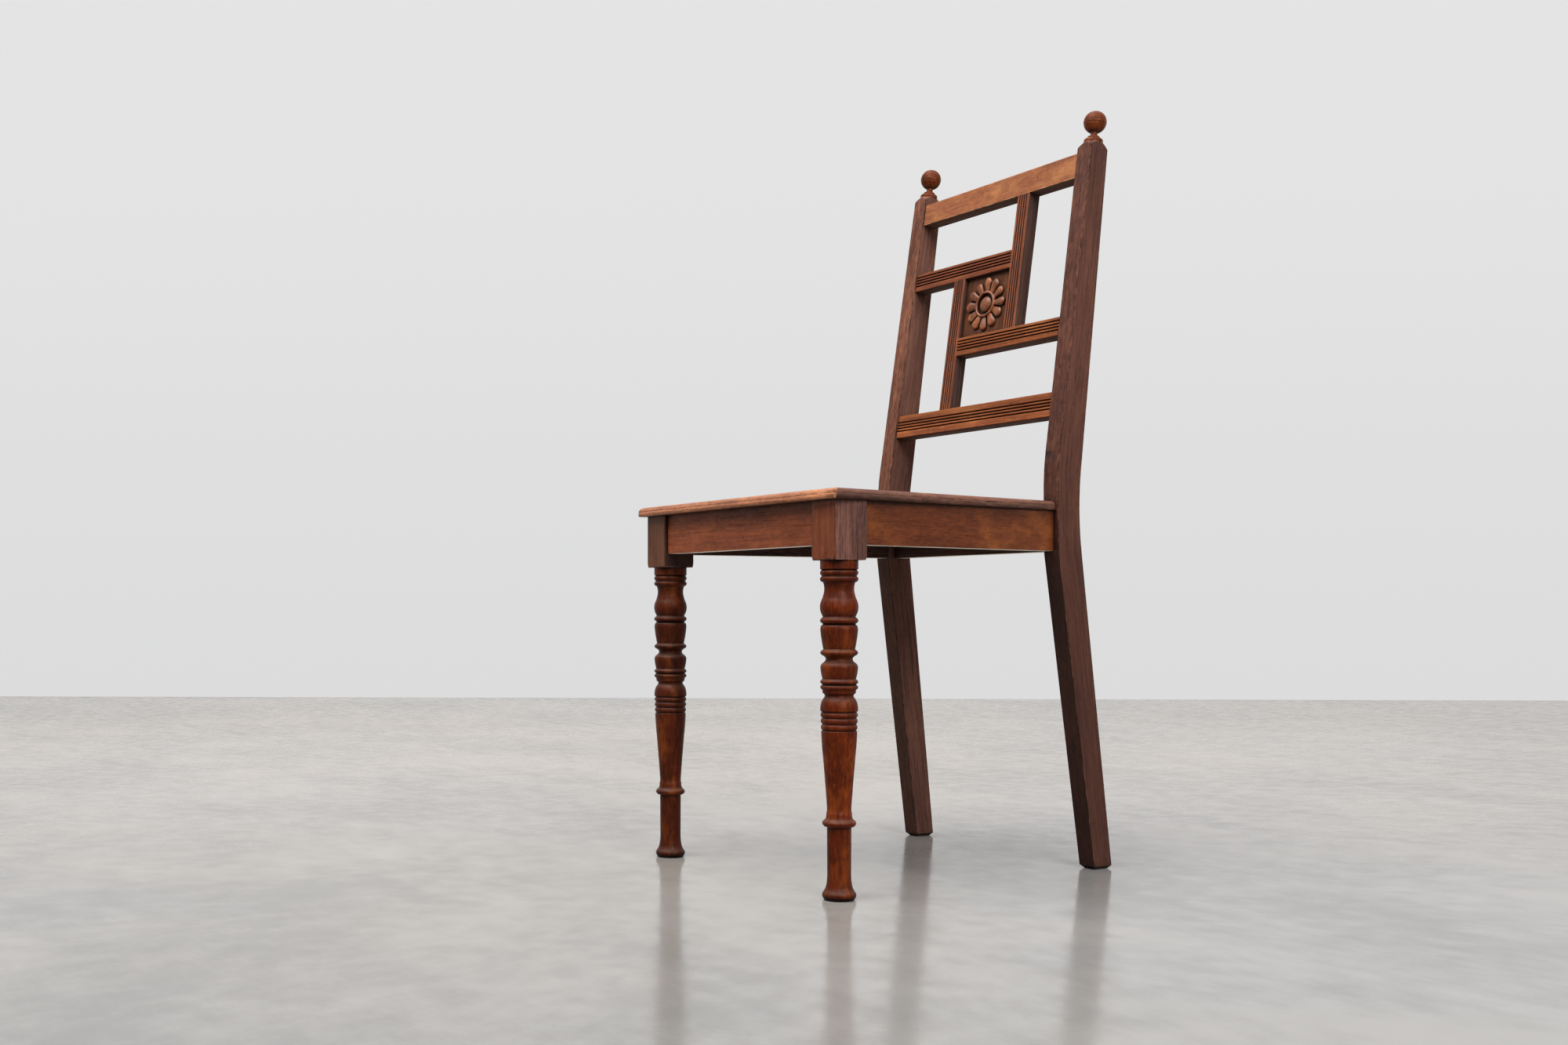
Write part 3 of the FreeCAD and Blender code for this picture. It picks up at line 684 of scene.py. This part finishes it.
def reeded(node, width, first, ends, place, material):
    """A reeded member from end to end. place gives a point from across, depth and along."""
    outline = reeded_section(width, first)
    shape = bmesh.new()
    rings = []
    for along in np.linspace(*ends, reed_stations):
        ring = []
        for across, depth in outline:
            dent = 0.12 * noise.noise((along * 0.06, across * 0.5, width + first))
            spot = Vector(place(across, depth + max(0.0, dent), along)) * MM
            ring.append(shape.verts.new(on_back @ spot))
        rings.append(ring)
    skin(shape, rings, [0] * len(outline))
    shape.faces.new(rings[0][::-1])
    shape.faces.new(rings[-1])
    bmesh.ops.recalc_face_normals(shape, faces=shape.faces)
    mesh = mesh_of(shape, node)
    smooth(mesh, 50)
    stand_in(node + ".reeded", mesh, [material], node)


def reeded_bar(node, top, height, first, material):
    """A level bar, which ends a little way inside the pieces that its tenons enter."""
    low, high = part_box(node)
    ends = (low.x / MM + tenon_hidden, high.x / MM - tenon_hidden)
    reeded(node, height, first, ends, lambda a, d, t: (t, d, top - a), material)


def reeded_upright(node, bottom, top, material):
    """An upright, which ends just inside the bars or rails that hold it."""
    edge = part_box(node)[0].x / MM
    ends = (bottom - 1, top + 1)
    reeded(
        node, upright_width, upright_first_groove, ends, lambda a, d, t: (edge + a, d, t), material
    )


def reeded_oak(name, tones, along, seed, dull, stain=()):
    """Oak of a reeded member, with its grain along an axis of the back."""
    return oak(name, tones, ALONG_BACK[along], seed, grime_tone=0.25, figure=0.6, mottle=0.2,
               patches=(34, 0.4), dull=dull, stain=stain)


# Turned front legs. Each row is the height and radius that a cut ends at, and how far it bows out.
LEG_PROFILE = (
    (376.5, 21.1, 0), (366.8, 21.1, 0), (365.7, 19.4, 0), (359.4, 19.5, 1.75), (358.6, 19.4, 0),
    (352.6, 19.4, 1.9), (351.9, 17.8, 0), (338.5, 17.5, -1.1), (333.5, 19.0, -0.1),
    (315.5, 18.9, 2.35), (314.0, 18.2, 0), (313.0, 18.6, 0), (306.3, 18.6, 2.65),
    (305.2, 18.0, 0), (303.2, 20.3, 0.35), (299.7, 20.9, 0.1), (278.0, 17.6, 0.35),
    (277.2, 18.3, 0), (270.8, 18.0, 2.8), (263.0, 17.5, -2.8), (260.3, 20.2, 0.3),
    (257.0, 20.8, 0.2), (245.0, 18.6, 0.3), (244.4, 19.0, 0), (239.0, 18.8, 2.1),
    (238.6, 18.7, 0), (232.9, 18.8, 2.2), (231.2, 18.5, 0), (229.2, 18.4, 0), (228.6, 17.4, 0),
    (224.0, 17.0, -1.25), (219.7, 19.5, 0.2), (211.0, 20.9, 0.4), (209.2, 20.5, 0.15),
    (208.3, 19.2, 0), (207.5, 19.7, 0), (202.7, 19.7, 1.0), (201.8, 18.9, 0), (201.0, 19.5, 0),
    (195.7, 19.4, 1.0), (194.8, 18.7, 0), (194.1, 19.3, 0), (188.7, 19.2, 1.0), (187.8, 18.6, 0),
    (186.8, 19.9, 0.1), (160.0, 18.1, 0.25), (102.0, 13.5, -0.15), (97.5, 13.6, 0),
    (96.5, 14.2, 0), (93.5, 14.2, 0), (90.0, 15.0, -0.1), (88.6, 16.5, -0.1), (81.4, 16.4, 2.4),
    (80.4, 13.5, -0.1), (28.3, 13.2, 0), (15.2, 14.6, -0.35), (9.5, 17.2, -0.3),
    (1.2, 17.2, 1.7), (0.0, 16.2, 0), (0.0, 0.0, 0),
)
# The square block over the turning, whose lower corners are turned away to a cone
BLOCK_LEVELS = (block_bottom, 377.2, 378.5, 380.5, 383.0, block_top)
block_points = 18
corner_cut, cone_cut, cone_height = 0.5, 1.1, 4.5


def front_leg(side, *materials):
    """A leg. The materials are of its turning, and of its block's front and back, and sides."""
    node = side + "_front_leg"
    low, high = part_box(node)
    axis = Vector(((low.x + high.x) / 2, (low.y + high.y) / 2, 0))
    around, first = 4 * block_points, math.radians(-135)
    shape = bmesh.new()
    line = bowed_line(LEG_PROFILE)[::-1]
    turned = turned_rings(shape, line, axis, Vector((0, 0, 1)), around, first)
    outline = [
        Matrix.Rotation(turn * math.pi / 2, 2) @ Vector((-1 + 2 * k / block_points, -1))
        for turn in range(4) for k in range(block_points)
    ]
    block = []
    for level in BLOCK_LEVELS:
        cone = cone_cut * max(0.0, 1 - (level - block_bottom) / cone_height)
        reach = block_half * math.sqrt(2) - corner_cut - cone
        ring = []
        for spot in outline:
            flat = spot * block_half
            flat *= min(1.0, reach / flat.length)
            ring.append(shape.verts.new(axis + Vector((flat.x, flat.y, level)) * MM))
        block.append(ring)
    skin(shape, turned, [0] * around)
    skin(shape, [turned[-1], block[0]], [1] * around)
    skin(shape, block, ([1] * block_points + [2] * block_points) * 2)
    shape.faces.new(block[-1]).material_index = 1
    mesh = mesh_of(shape, node)
    smooth(mesh, 40)
    stand_in(node + ".turned", mesh, materials, node)


# Carved panel, in millimetres
PETALS = 12
petal_root, petal_tip, petal_widths = 16, 29.2, (3.8, 6.95)
ring_radius, ring_half = 16.1, 1.85
boss_radius = 10.8
panel_half_width, panel_half_height, panel_back = 45.2, 44.0, 6.9
panel_columns, panel_rows = 205, 201
carving_starts = 1.2


def soft_step(value, low, high):
    """0 below a range and 1 above it, with a smooth rise between."""
    t = np.clip((value - low) / (high - low), 0, 1)
    return t * t * (3 - 2 * t)


def dome(distance, half):
    """1 in the middle of a round form and 0 at its edge and beyond."""
    return np.sqrt(np.clip(1 - (distance / half) ** 2, 0, 1))


def carved_height(u, w):
    """Height of the rosette over its ground at u across and w up. No two petals are alike."""
    rho, phi = np.hypot(u, w), np.arctan2(u, w)
    pitch = 2 * math.pi / PETALS
    number = np.round(phi / pitch)
    turn = phi - number * pitch
    uneven = np.sin(number * 2.4 + 0.7)
    bias = np.sin(number * 4.1 + 2.0)
    along, across = rho * np.cos(turn), rho * np.sin(turn) - 0.5 * bias
    half = np.interp(along, (petal_root, 29.5), petal_widths)
    half *= 0.95 + 0.07 * np.sin(number * 1.7 + 0.3)
    inside = np.hypot(np.maximum(along - petal_tip - 0.9 * uneven, 0), across) / half
    tilt = 1 + (0.13 + 0.07 * uneven) * across / half
    tilt -= 0.11 * (1 + bias) * np.abs(across) / half
    crown = np.sqrt(np.clip(1 - inside ** 3.4, 0, 1)) * tilt
    swell = 0.5 + 0.5 * soft_step(along, petal_root, 29)
    petals = 1.0 + (3.7 + 0.35 * uneven) * crown * swell
    petals = np.where((inside < 1) & (rho > petal_root + 0.5), petals, 0)
    ring = dome(rho - ring_radius, ring_half)
    ring = np.where(ring > 0, 2.6 + 2.4 * ring, 0)
    boss = dome(rho, boss_radius)
    boss = np.where(boss > 0, 0.8 + 4.6 * boss, 0)
    return np.maximum.reduce([petals, ring, boss])


def tool_mark(u, w):
    """The slight unevenness that a gouge leaves."""
    broad = noise.noise((u * 0.11, w * 0.11, 3.0))
    narrow = noise.noise((u * 0.33, w * 0.33, 8.0))
    return broad * 0.22 + narrow * 0.16


def carved_panel(*materials):
    """The rosette and its ground as a grid of heights, with a rim and a plain back."""
    columns, rows = panel_columns, panel_rows
    u = np.linspace(-panel_half_width, panel_half_width, columns)
    w = np.linspace(-panel_half_height, panel_half_height, rows)
    height = carved_height(*np.meshgrid(u, w))
    height = height + np.array([[tool_mark(a, b) for a in u] for b in w])

    def point(row, column, depth):
        across, up = u[column] * MM, panel_middle + w[row] * MM
        return on_back @ Vector((across, panel_ground + depth * MM, up))

    points = [point(row, k, -height[row, k]) for row in range(rows) for k in range(columns)]
    faces, raised = [], []
    for row in range(rows - 1):
        for k in range(columns - 1):
            a = row * columns + k
            faces.append((a, a + 1, a + columns + 1, a + columns))
            raised.append(int(height[row:row + 2, k:k + 2].min() > carving_starts))
    rim = list(range(columns))
    rim += [row * columns + columns - 1 for row in range(1, rows)]
    rim += [(rows - 1) * columns + k for k in range(columns - 2, -1, -1)]
    rim += [row * columns for row in range(rows - 2, 0, -1)]
    back = len(points)
    points += [point(k // columns, k % columns, panel_back) for k in rim]
    for k in range(len(rim)):
        after = (k + 1) % len(rim)
        faces.append((rim[after], rim[k], back + k, back + after))
    faces.append(tuple(back + k for k in reversed(range(len(rim)))))
    mesh = bpy.data.meshes.new("rosette_panel")
    mesh.from_pydata(points, [], faces)
    mesh.update()
    smooth(mesh, 50)
    # Raised faces take the carving's lighter tones and the ground the panel's darker ones: painted
    # light and shade
    for polygon, kind in zip(mesh.polygons, raised):
        polygon.material_index = kind
    stand_in("rosette_panel.carved", mesh, materials, "rosette_panel")


# The moulded edge of the seat: rows of depth in from the outline and height over the underside
SEAT_EDGE = (
    (1.8, 0.0), (0.9, 0.35), (0.3, 1.1), (0.0, 2.5), (0.05, 3.7), (0.4, 4.8), (0.85, 5.5),
    (1.15, 5.8), (1.15, 6.1), (1.0, 6.5), (1.05, 7.2), (1.9, 8.9), (3.3, 10.3), (5.2, 11.4),
    (6.6, 11.85), (8.0, 12.0),
)
SEAT_KINDS = ("joint", "front", "side")
seat_low, seat_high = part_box("seat_board_1")
seat_taper = (
    (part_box("seat_board_2")[1].x - seat_high.x) / (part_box("seat_board_2")[0].y - seat_low.y)
)
seat_middle = Vector((0, -60))
notch_side = 148.54
notch_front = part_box("left_back_post")[0].y / MM - 0.4
# Points along the edge, its deepest dent, the knocked front corners, and how far the front's
# tone goes round them
edge_step = 1.5
deepest_dent = 1.4
knock_depth, knock_uneven, knock_reach = 1.7, 1.2, 3.2
front_wraps = 3.5


def seat_side(y, inset):
    """Half the width of the seat at a depth, in millimetres."""
    half = seat_high.x / MM + seat_taper * (y - seat_low.y / MM)
    return half - inset * math.hypot(1, seat_taper)


def seat_outline(number, inset):
    """Sides of a board in plan, each with its start, its end and its kind."""
    low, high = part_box("seat_board_%d" % number)
    front, back = low.y / MM, high.y / MM
    if number == 1:
        front += inset
    rear = notch_front if number == 3 else back
    corners = [
        ((-seat_side(front, inset), front), "front" if number == 1 else "joint"),
        ((seat_side(front, inset), front), "side"),
        ((seat_side(rear, inset), rear), "joint"),
        ((-seat_side(rear, inset), rear), "side"),
    ]
    if number == 3:
        corners[3:3] = [
            ((notch_side, rear), "joint"), ((notch_side, back), "joint"),
            ((-notch_side, back), "joint"), ((-notch_side, rear), "joint"),
        ]
    ends = corners[1:] + corners[:1]
    return [(Vector(start), Vector(end), kind) for (start, kind), (end, _) in zip(corners, ends)]


front_corners = seat_outline(1, 0)[0][:2]


def from_front_corner(place):
    """How far a place is from the nearer front corner of the seat."""
    return min((place - corner).length for corner in front_corners)


def dented(place, inward, height):
    """A point of the seat's edge, pressed in by dents, chips and knocks on the front corners."""

    def marks(scale, rise, seed):
        return noise.noise((place.x * scale, place.y * scale, height * rise + seed))

    dent = max(0.0, marks(0.13, 0.25, 3)) + 0.5 * max(0.0, marks(0.37, 0.4, 5))
    chip = max(0.0, marks(0.045, 0.12, 9) - 0.32)
    place = place + inward * min(deepest_dent, 0.75 * dent + 4.0 * chip)
    knock = knock_depth + knock_uneven * marks(0.5, 0.4, 0)
    knock *= math.exp(-(from_front_corner(place) / knock_reach) ** 2)
    return place + (seat_middle - place).normalized() * knock


def seat_board(number, *materials):
    """A board of the seat. The materials are of its top, its front edge and its side edges."""
    node = "seat_board_%d" % number
    bottom = seat_low.z / MM
    counts, kinds = [], []
    for start, end, kind in seat_outline(number, 0):
        count = 1 if kind == "joint" else round((end - start).length / edge_step)
        counts.append(count)
        for k in range(count):
            near = from_front_corner(start.lerp(end, (k + 0.5) / count))
            wraps = kind == "side" and near < front_wraps
            kinds.append(SEAT_KINDS.index("front" if wraps else kind))
    shape = bmesh.new()
    rings = []
    for inset, height in SEAT_EDGE:
        ring = []
        for (start, end, kind), count in zip(seat_outline(number, inset), counts):
            inward = Vector((start.y - end.y, end.x - start.x)).normalized()
            for k in range(count):
                place = start.lerp(end, k / count)
                if kind != "joint":
                    place = dented(place, inward, height)
                spot = Vector((place.x, place.y, bottom + height)) * MM
                ring.append(shape.verts.new(spot))
        rings.append(ring)
    skin(shape, rings, kinds)
    caps = [shape.faces.new(rings[0][::-1]), shape.faces.new(rings[-1])]
    bmesh.ops.triangulate(shape, faces=caps)
    finished(shape, node, *materials)


# The chair

for side, seed in (("left", 1.3), ("right", 4.1)):
    front_leg(
        side,
        oak("leg_" + side, LEG[side], ALONG["z"], seed, pore=0.4, wear=0.25, figure=0.8,
            patches=(48, 0.5), streaks=0.45, mottle=0.22, flecks=0.18, grime=0.95,
            grime_reach=7, deep=0.8, grimy_air=(0.55, 0.96), stain=LEG_STAIN, dust=0.3,
            gloss=0.10),
        oak("block_" + side, BLOCK[side], ALONG["z"], seed + 0.7, pore=0.3, streaks=0.35,
            patches=(34, 0.35), mottle=0.15, worn=(0.030, 0.010, 0.006), wear=0.8,
            wear_reach=3.5, nicks=0.9),
        oak("block_side_" + side, BLOCK_SIDE[side], ALONG["z"], seed + 0.4, pore=0.9,
            roughness=0.5, fine=0.95, mottle=0.25, patches=(44, 0.3),
            worn=(0.28, 0.15, 0.11), nicks=0.5),
    )
carved_panel(
    oak("panel", PANEL, ALONG_BACK["z"], 2.2, figure=0.7, patches=(40, 0.6), grime_reach=8,
        grime=0.95, mottle=0.25),
    oak("carving", CARVED, ALONG_BACK["z"], 2.2, roughness=0.34, figure=1.0,
        patches=(52, 1.0), mottle=0.35, grime_reach=5, grime=0.97, grimy_air=(0.4, 0.96),
        wear=0.5, dust=0.25, gloss=0.32),
)
# Painted shade below the seat and on the inner faces, stronger on the left post
for side, seed, under_seat, dullness in (("left", 5.7, 0.36, 0.6), ("right", 7.9, 0.1, 0.15)):
    post_look = dict(
        pore=0.6, roughness=0.5, fine=0.9, rings=0.1, wear=0.45, wear_reach=2.2,
        worn=(0.34, 0.13, 0.07), nicks=0.95, under_seat=under_seat, bent=True, stain=POST_STAIN,
    )
    back_post(
        side,
        oak("post_" + side, POST[side], ALONG["z"], seed, crisp=0.08, streaks=0.55,
            mottle=0.42, figure=0.6, flecks=0.6, patches=(34, 0.5), **post_look),
        # The ball's faces that look down get painted shade
        oak("ball_" + side, BALL, ALONG["x"], seed, roughness=0.36, wear=0.2, figure=0.8,
            pore=0.2, patches=(60, 0.25), grime_reach=1.6, grimy_air=(0.5, 0.97), gloss=0.12,
            dull=BELOW, dullness=0.6),
        oak("post_side_" + side, POST_SIDE[side], ALONG["z"], seed + 0.4, crisp=0.075,
            mottle=0.15, patches=(22, 0.35), dull=(INWARD[side],), dullness=dullness,
            **post_look),
    )
# The crest's underside gets painted shade
crest_rail(
    oak("crest", CREST, ALONG_BACK["x"], 17.9, figure=0.75, patches=(24, 0.7), streaks=0.3,
        rings=0.1, mottle=0.25, wear=0.8, wear_reach=2.4, worn=(0.52, 0.27, 0.14), dull=BELOW,
        nicks=0.3)
)
# The reeded members get painted shade on their undersides, and the uprights on their sides
for node, top, height, first, name, tones, seed, stain in (
    ("lower_back_rail", lower_rail_top, lower_rail_height, lower_rail_first_groove, "rail_lower",
     LOWER, 6.3, LOWER_STAIN),
    ("upper_bar", upper_bar_top, bar_height, bar_first_groove, "bar_upper", BACK_DARK, 8.8, ()),
    ("lower_bar", lower_bar_top, bar_height, bar_first_groove, "bar_lower", BACK, 9.4, ()),
):
    reeded_bar(node, top, height, first, reeded_oak(name, tones, "x", seed, BELOW, stain))
for node, bottom, top, name, seed in (
    ("left_upright", lower_bar_top, upright_top, "upright_left", 2.9),
    ("right_upright", lower_rail_top, upper_bar_top - bar_height, "upright_right", 4.6),
):
    reeded_upright(node, bottom, top, reeded_oak(name, BACK_DARK, "z", seed, SIDES))
for node, tones, along, seed, inner in (
    ("front_rail", FRONT_RAIL, "x", 1.9, (0, 1, 0)),
    ("back_rail", RAIL, "x", 3.7, (0, -1, 0)),
    ("left_side_rail", RAIL, "y", 8.3, INWARD["left"]),
    ("right_side_rail", RAIL, "y", 6.6, INWARD["right"]),
):
    # The rails get a painted shadow of the seat along their tops, and painted shade in wide
    # corners and on their inner faces
    eased(node, oak(
        node, tones, ALONG[along], seed, figure=0.85, patches=(17, 0.7), streaks=0.5, rings=0.1,
        mottle=0.2, stain=RAIL_STAIN, deep=0.85, grime_reach=8, dull=(inner,), raw_below=True,
    ))
for number in (1, 2, 3):
    name, seed = "seat_board_%d" % number, 2.3 * number
    seat_board(
        number,
        oak(name, SEAT, ALONG["x"], seed, rings=0.1, patches=(14, 0.4)),
        # The pale worn colour of the front edge is partly a painted highlight
        oak(name + "_front", SEAT_FRONT, ALONG["x"], seed, worn=(0.64, 0.31, 0.15), wear=0.9,
            wear_reach=2.6, figure=0.7, mottle=0.4, roughness=0.34, gloss=0.28, grime=0.35,
            nicks=0.6),
        oak(name + "_side", SEAT_SIDE, ALONG["y"], seed, streaks=0.7, mottle=0.2, wear=0.3,
            grime=0.5, stain=SEAT_STAIN),
    )
brace_wood = oak("brace", SOFT, ALONG["x"], 1.1, wear=0.1)
for side in ("left", "right"):
    for place in ("front", "rear"):
        eased("%s_%s_brace" % (side, place), brace_wood)


# Stage, light and camera

eye = Vector((1.58596, -1.28524, 0.32215))
azimuth = math.radians(59.80)
ahead = Vector((-math.sin(azimuth), math.cos(azimuth), 0))
right = Vector((math.cos(azimuth), math.sin(azimuth), 0))
chair = Vector((0, 0, 0.5))
floor_half, wall_half, wall_height = 12, 9, 7
# How far ahead of the eye the wall stands at its left and right ends
wall_depths = (6.20, 5.32)


def concrete(name, near, far, roughness):
    """Polished concrete with clouds and trowel marks, its colour darker towards the camera and
    paler and warmer towards the wall: a painted run of light.
    """
    s = Shader(name)
    place = s.place()
    cloud = s.noise(place, 1.6, 10, 0.66)
    trowel = s.noise(s.scaled(place, (0.5, 1.4, 1)), 4.5, 9, 0.68)
    mottle = s.noise(place, 26, 6, 0.65)
    warm = s.noise(place, 0.8, 4, 0.55)
    tint = s.plus(s.times(cloud, 0.55), s.times(trowel, 0.25))
    tint = s.plus(tint, s.times(mottle, 0.2))
    # Painted light: darker near the camera, paler and warmer towards the wall
    shade = s.mix(s.span(s.dot(place, ahead), -1.2, 2.6), near, far)
    dark = tuple(0.1 * level for level in near)
    shade = s.mix(s.span(tint, 0.39, 0.61, 0.34, 0.0), shade, dark)
    shade = s.mix(s.span(warm, 0.4, 0.62, 0.0, 0.8), shade, (1.0, 0.965, 0.905), "MULTIPLY")
    s.set(Base_Color=shade, Specular_IOR_Level=0.4)
    s.set(Roughness=s.span(mottle, 0.35, 0.65, roughness + 0.05, roughness - 0.04))
    return s.material


def backdrop(name, colour, low_tone, high_tone):
    """A pale wall that glows to the camera and in reflections, with one soft run of tone that is
    darker towards its foot: painted shade.
    """
    s = Shader(name)
    s.set(Base_Color=(*colour, 1), Roughness=0.9)
    shade = s.mix(s.span(s.height(), -0.2, 2.2), low_tone, high_tone)
    glow = s.add("ShaderNodeEmission", {"Color": shade, "Strength": 1.0}).outputs[0]
    inputs = {0: s.seen(), 1: s.surface.outputs[0], 2: glow}
    both = s.add("ShaderNodeMixShader", inputs).outputs[0]
    s.put(both, s.tree.nodes["Material Output"].inputs["Surface"])
    return s.material


def sheet(name, corners, material):
    """A flat piece of the stage."""
    mesh = bpy.data.meshes.new(name)
    mesh.from_pydata(corners, [], [(0, 1, 2, 3)])
    made = bpy.data.objects.new(name, mesh)
    bpy.context.scene.collection.objects.link(made)
    mesh.materials.append(material)


def lamp(name, offset, size, power):
    """A square soft lamp that looks at the chair."""
    data = bpy.data.lights.new(name, "AREA")
    data.shape = "SQUARE"
    data.size = size
    data.energy = power
    made = bpy.data.objects.new(name, data)
    bpy.context.scene.collection.objects.link(made)
    made.location = chair + Vector(offset)
    made.rotation_euler = (-Vector(offset)).to_track_quat("-Z", "Y").to_euler()


sheet(
    "floor",
    [(x * floor_half, y * floor_half, 0) for x, y in ((-1, -1), (1, -1), (1, 1), (-1, 1))],
    concrete("floor", (0.247, 0.245, 0.244), (0.50, 0.447, 0.397), 0.16),
)
wall_foot = [
    (eye + ahead * depth + right * across).to_2d()
    for across, depth in zip((-wall_half, wall_half), wall_depths)
]
sheet(
    "wall",
    [(*spot, 0) for spot in wall_foot] + [(*spot, wall_height) for spot in wall_foot[::-1]],
    backdrop("wall", (0.80, 0.80, 0.80), (0.715, 0.715, 0.718), (0.775, 0.775, 0.775)),
)
lamp("key", (0.1, -1.8, 3.3), 2.8, 212)
lamp("side", (3.25, -0.55, 1.9), 1.8, 118)
lamp("top", (0.0, 0.4, 3.2), 3.6, 60)

world = bpy.data.worlds.new("world")
bpy.context.scene.world = world
world.use_nodes = True
sky = Nodes(world.node_tree)
background = world.node_tree.nodes["Background"].inputs
sky.put((1.0, 1.0, 1.0, 1), background["Color"])
sky.put(sky.span(sky.seen(), 0.0, 1.0, 0.12, 0.75), background["Strength"])

# The photo's width and height, its focal length and the point ahead of its lens, in pixels
image_width, image_height = 2000, 1333
focal = 2024.75
ahead_x, ahead_y = 807.43, 777.16
camera = bpy.data.objects.new("camera", bpy.data.cameras.new("camera"))
bpy.context.scene.collection.objects.link(camera)
camera.location = eye
camera.rotation_euler = (math.pi / 2, 0, azimuth)
camera.data.sensor_width = 36
camera.data.lens = camera.data.sensor_width * focal / image_width
camera.data.shift_x = (image_width / 2 - ahead_x) / image_width
camera.data.shift_y = (ahead_y - image_height / 2) / image_width
bpy.context.scene.camera = camera
bpy.context.scene.view_settings.view_transform = "Standard"
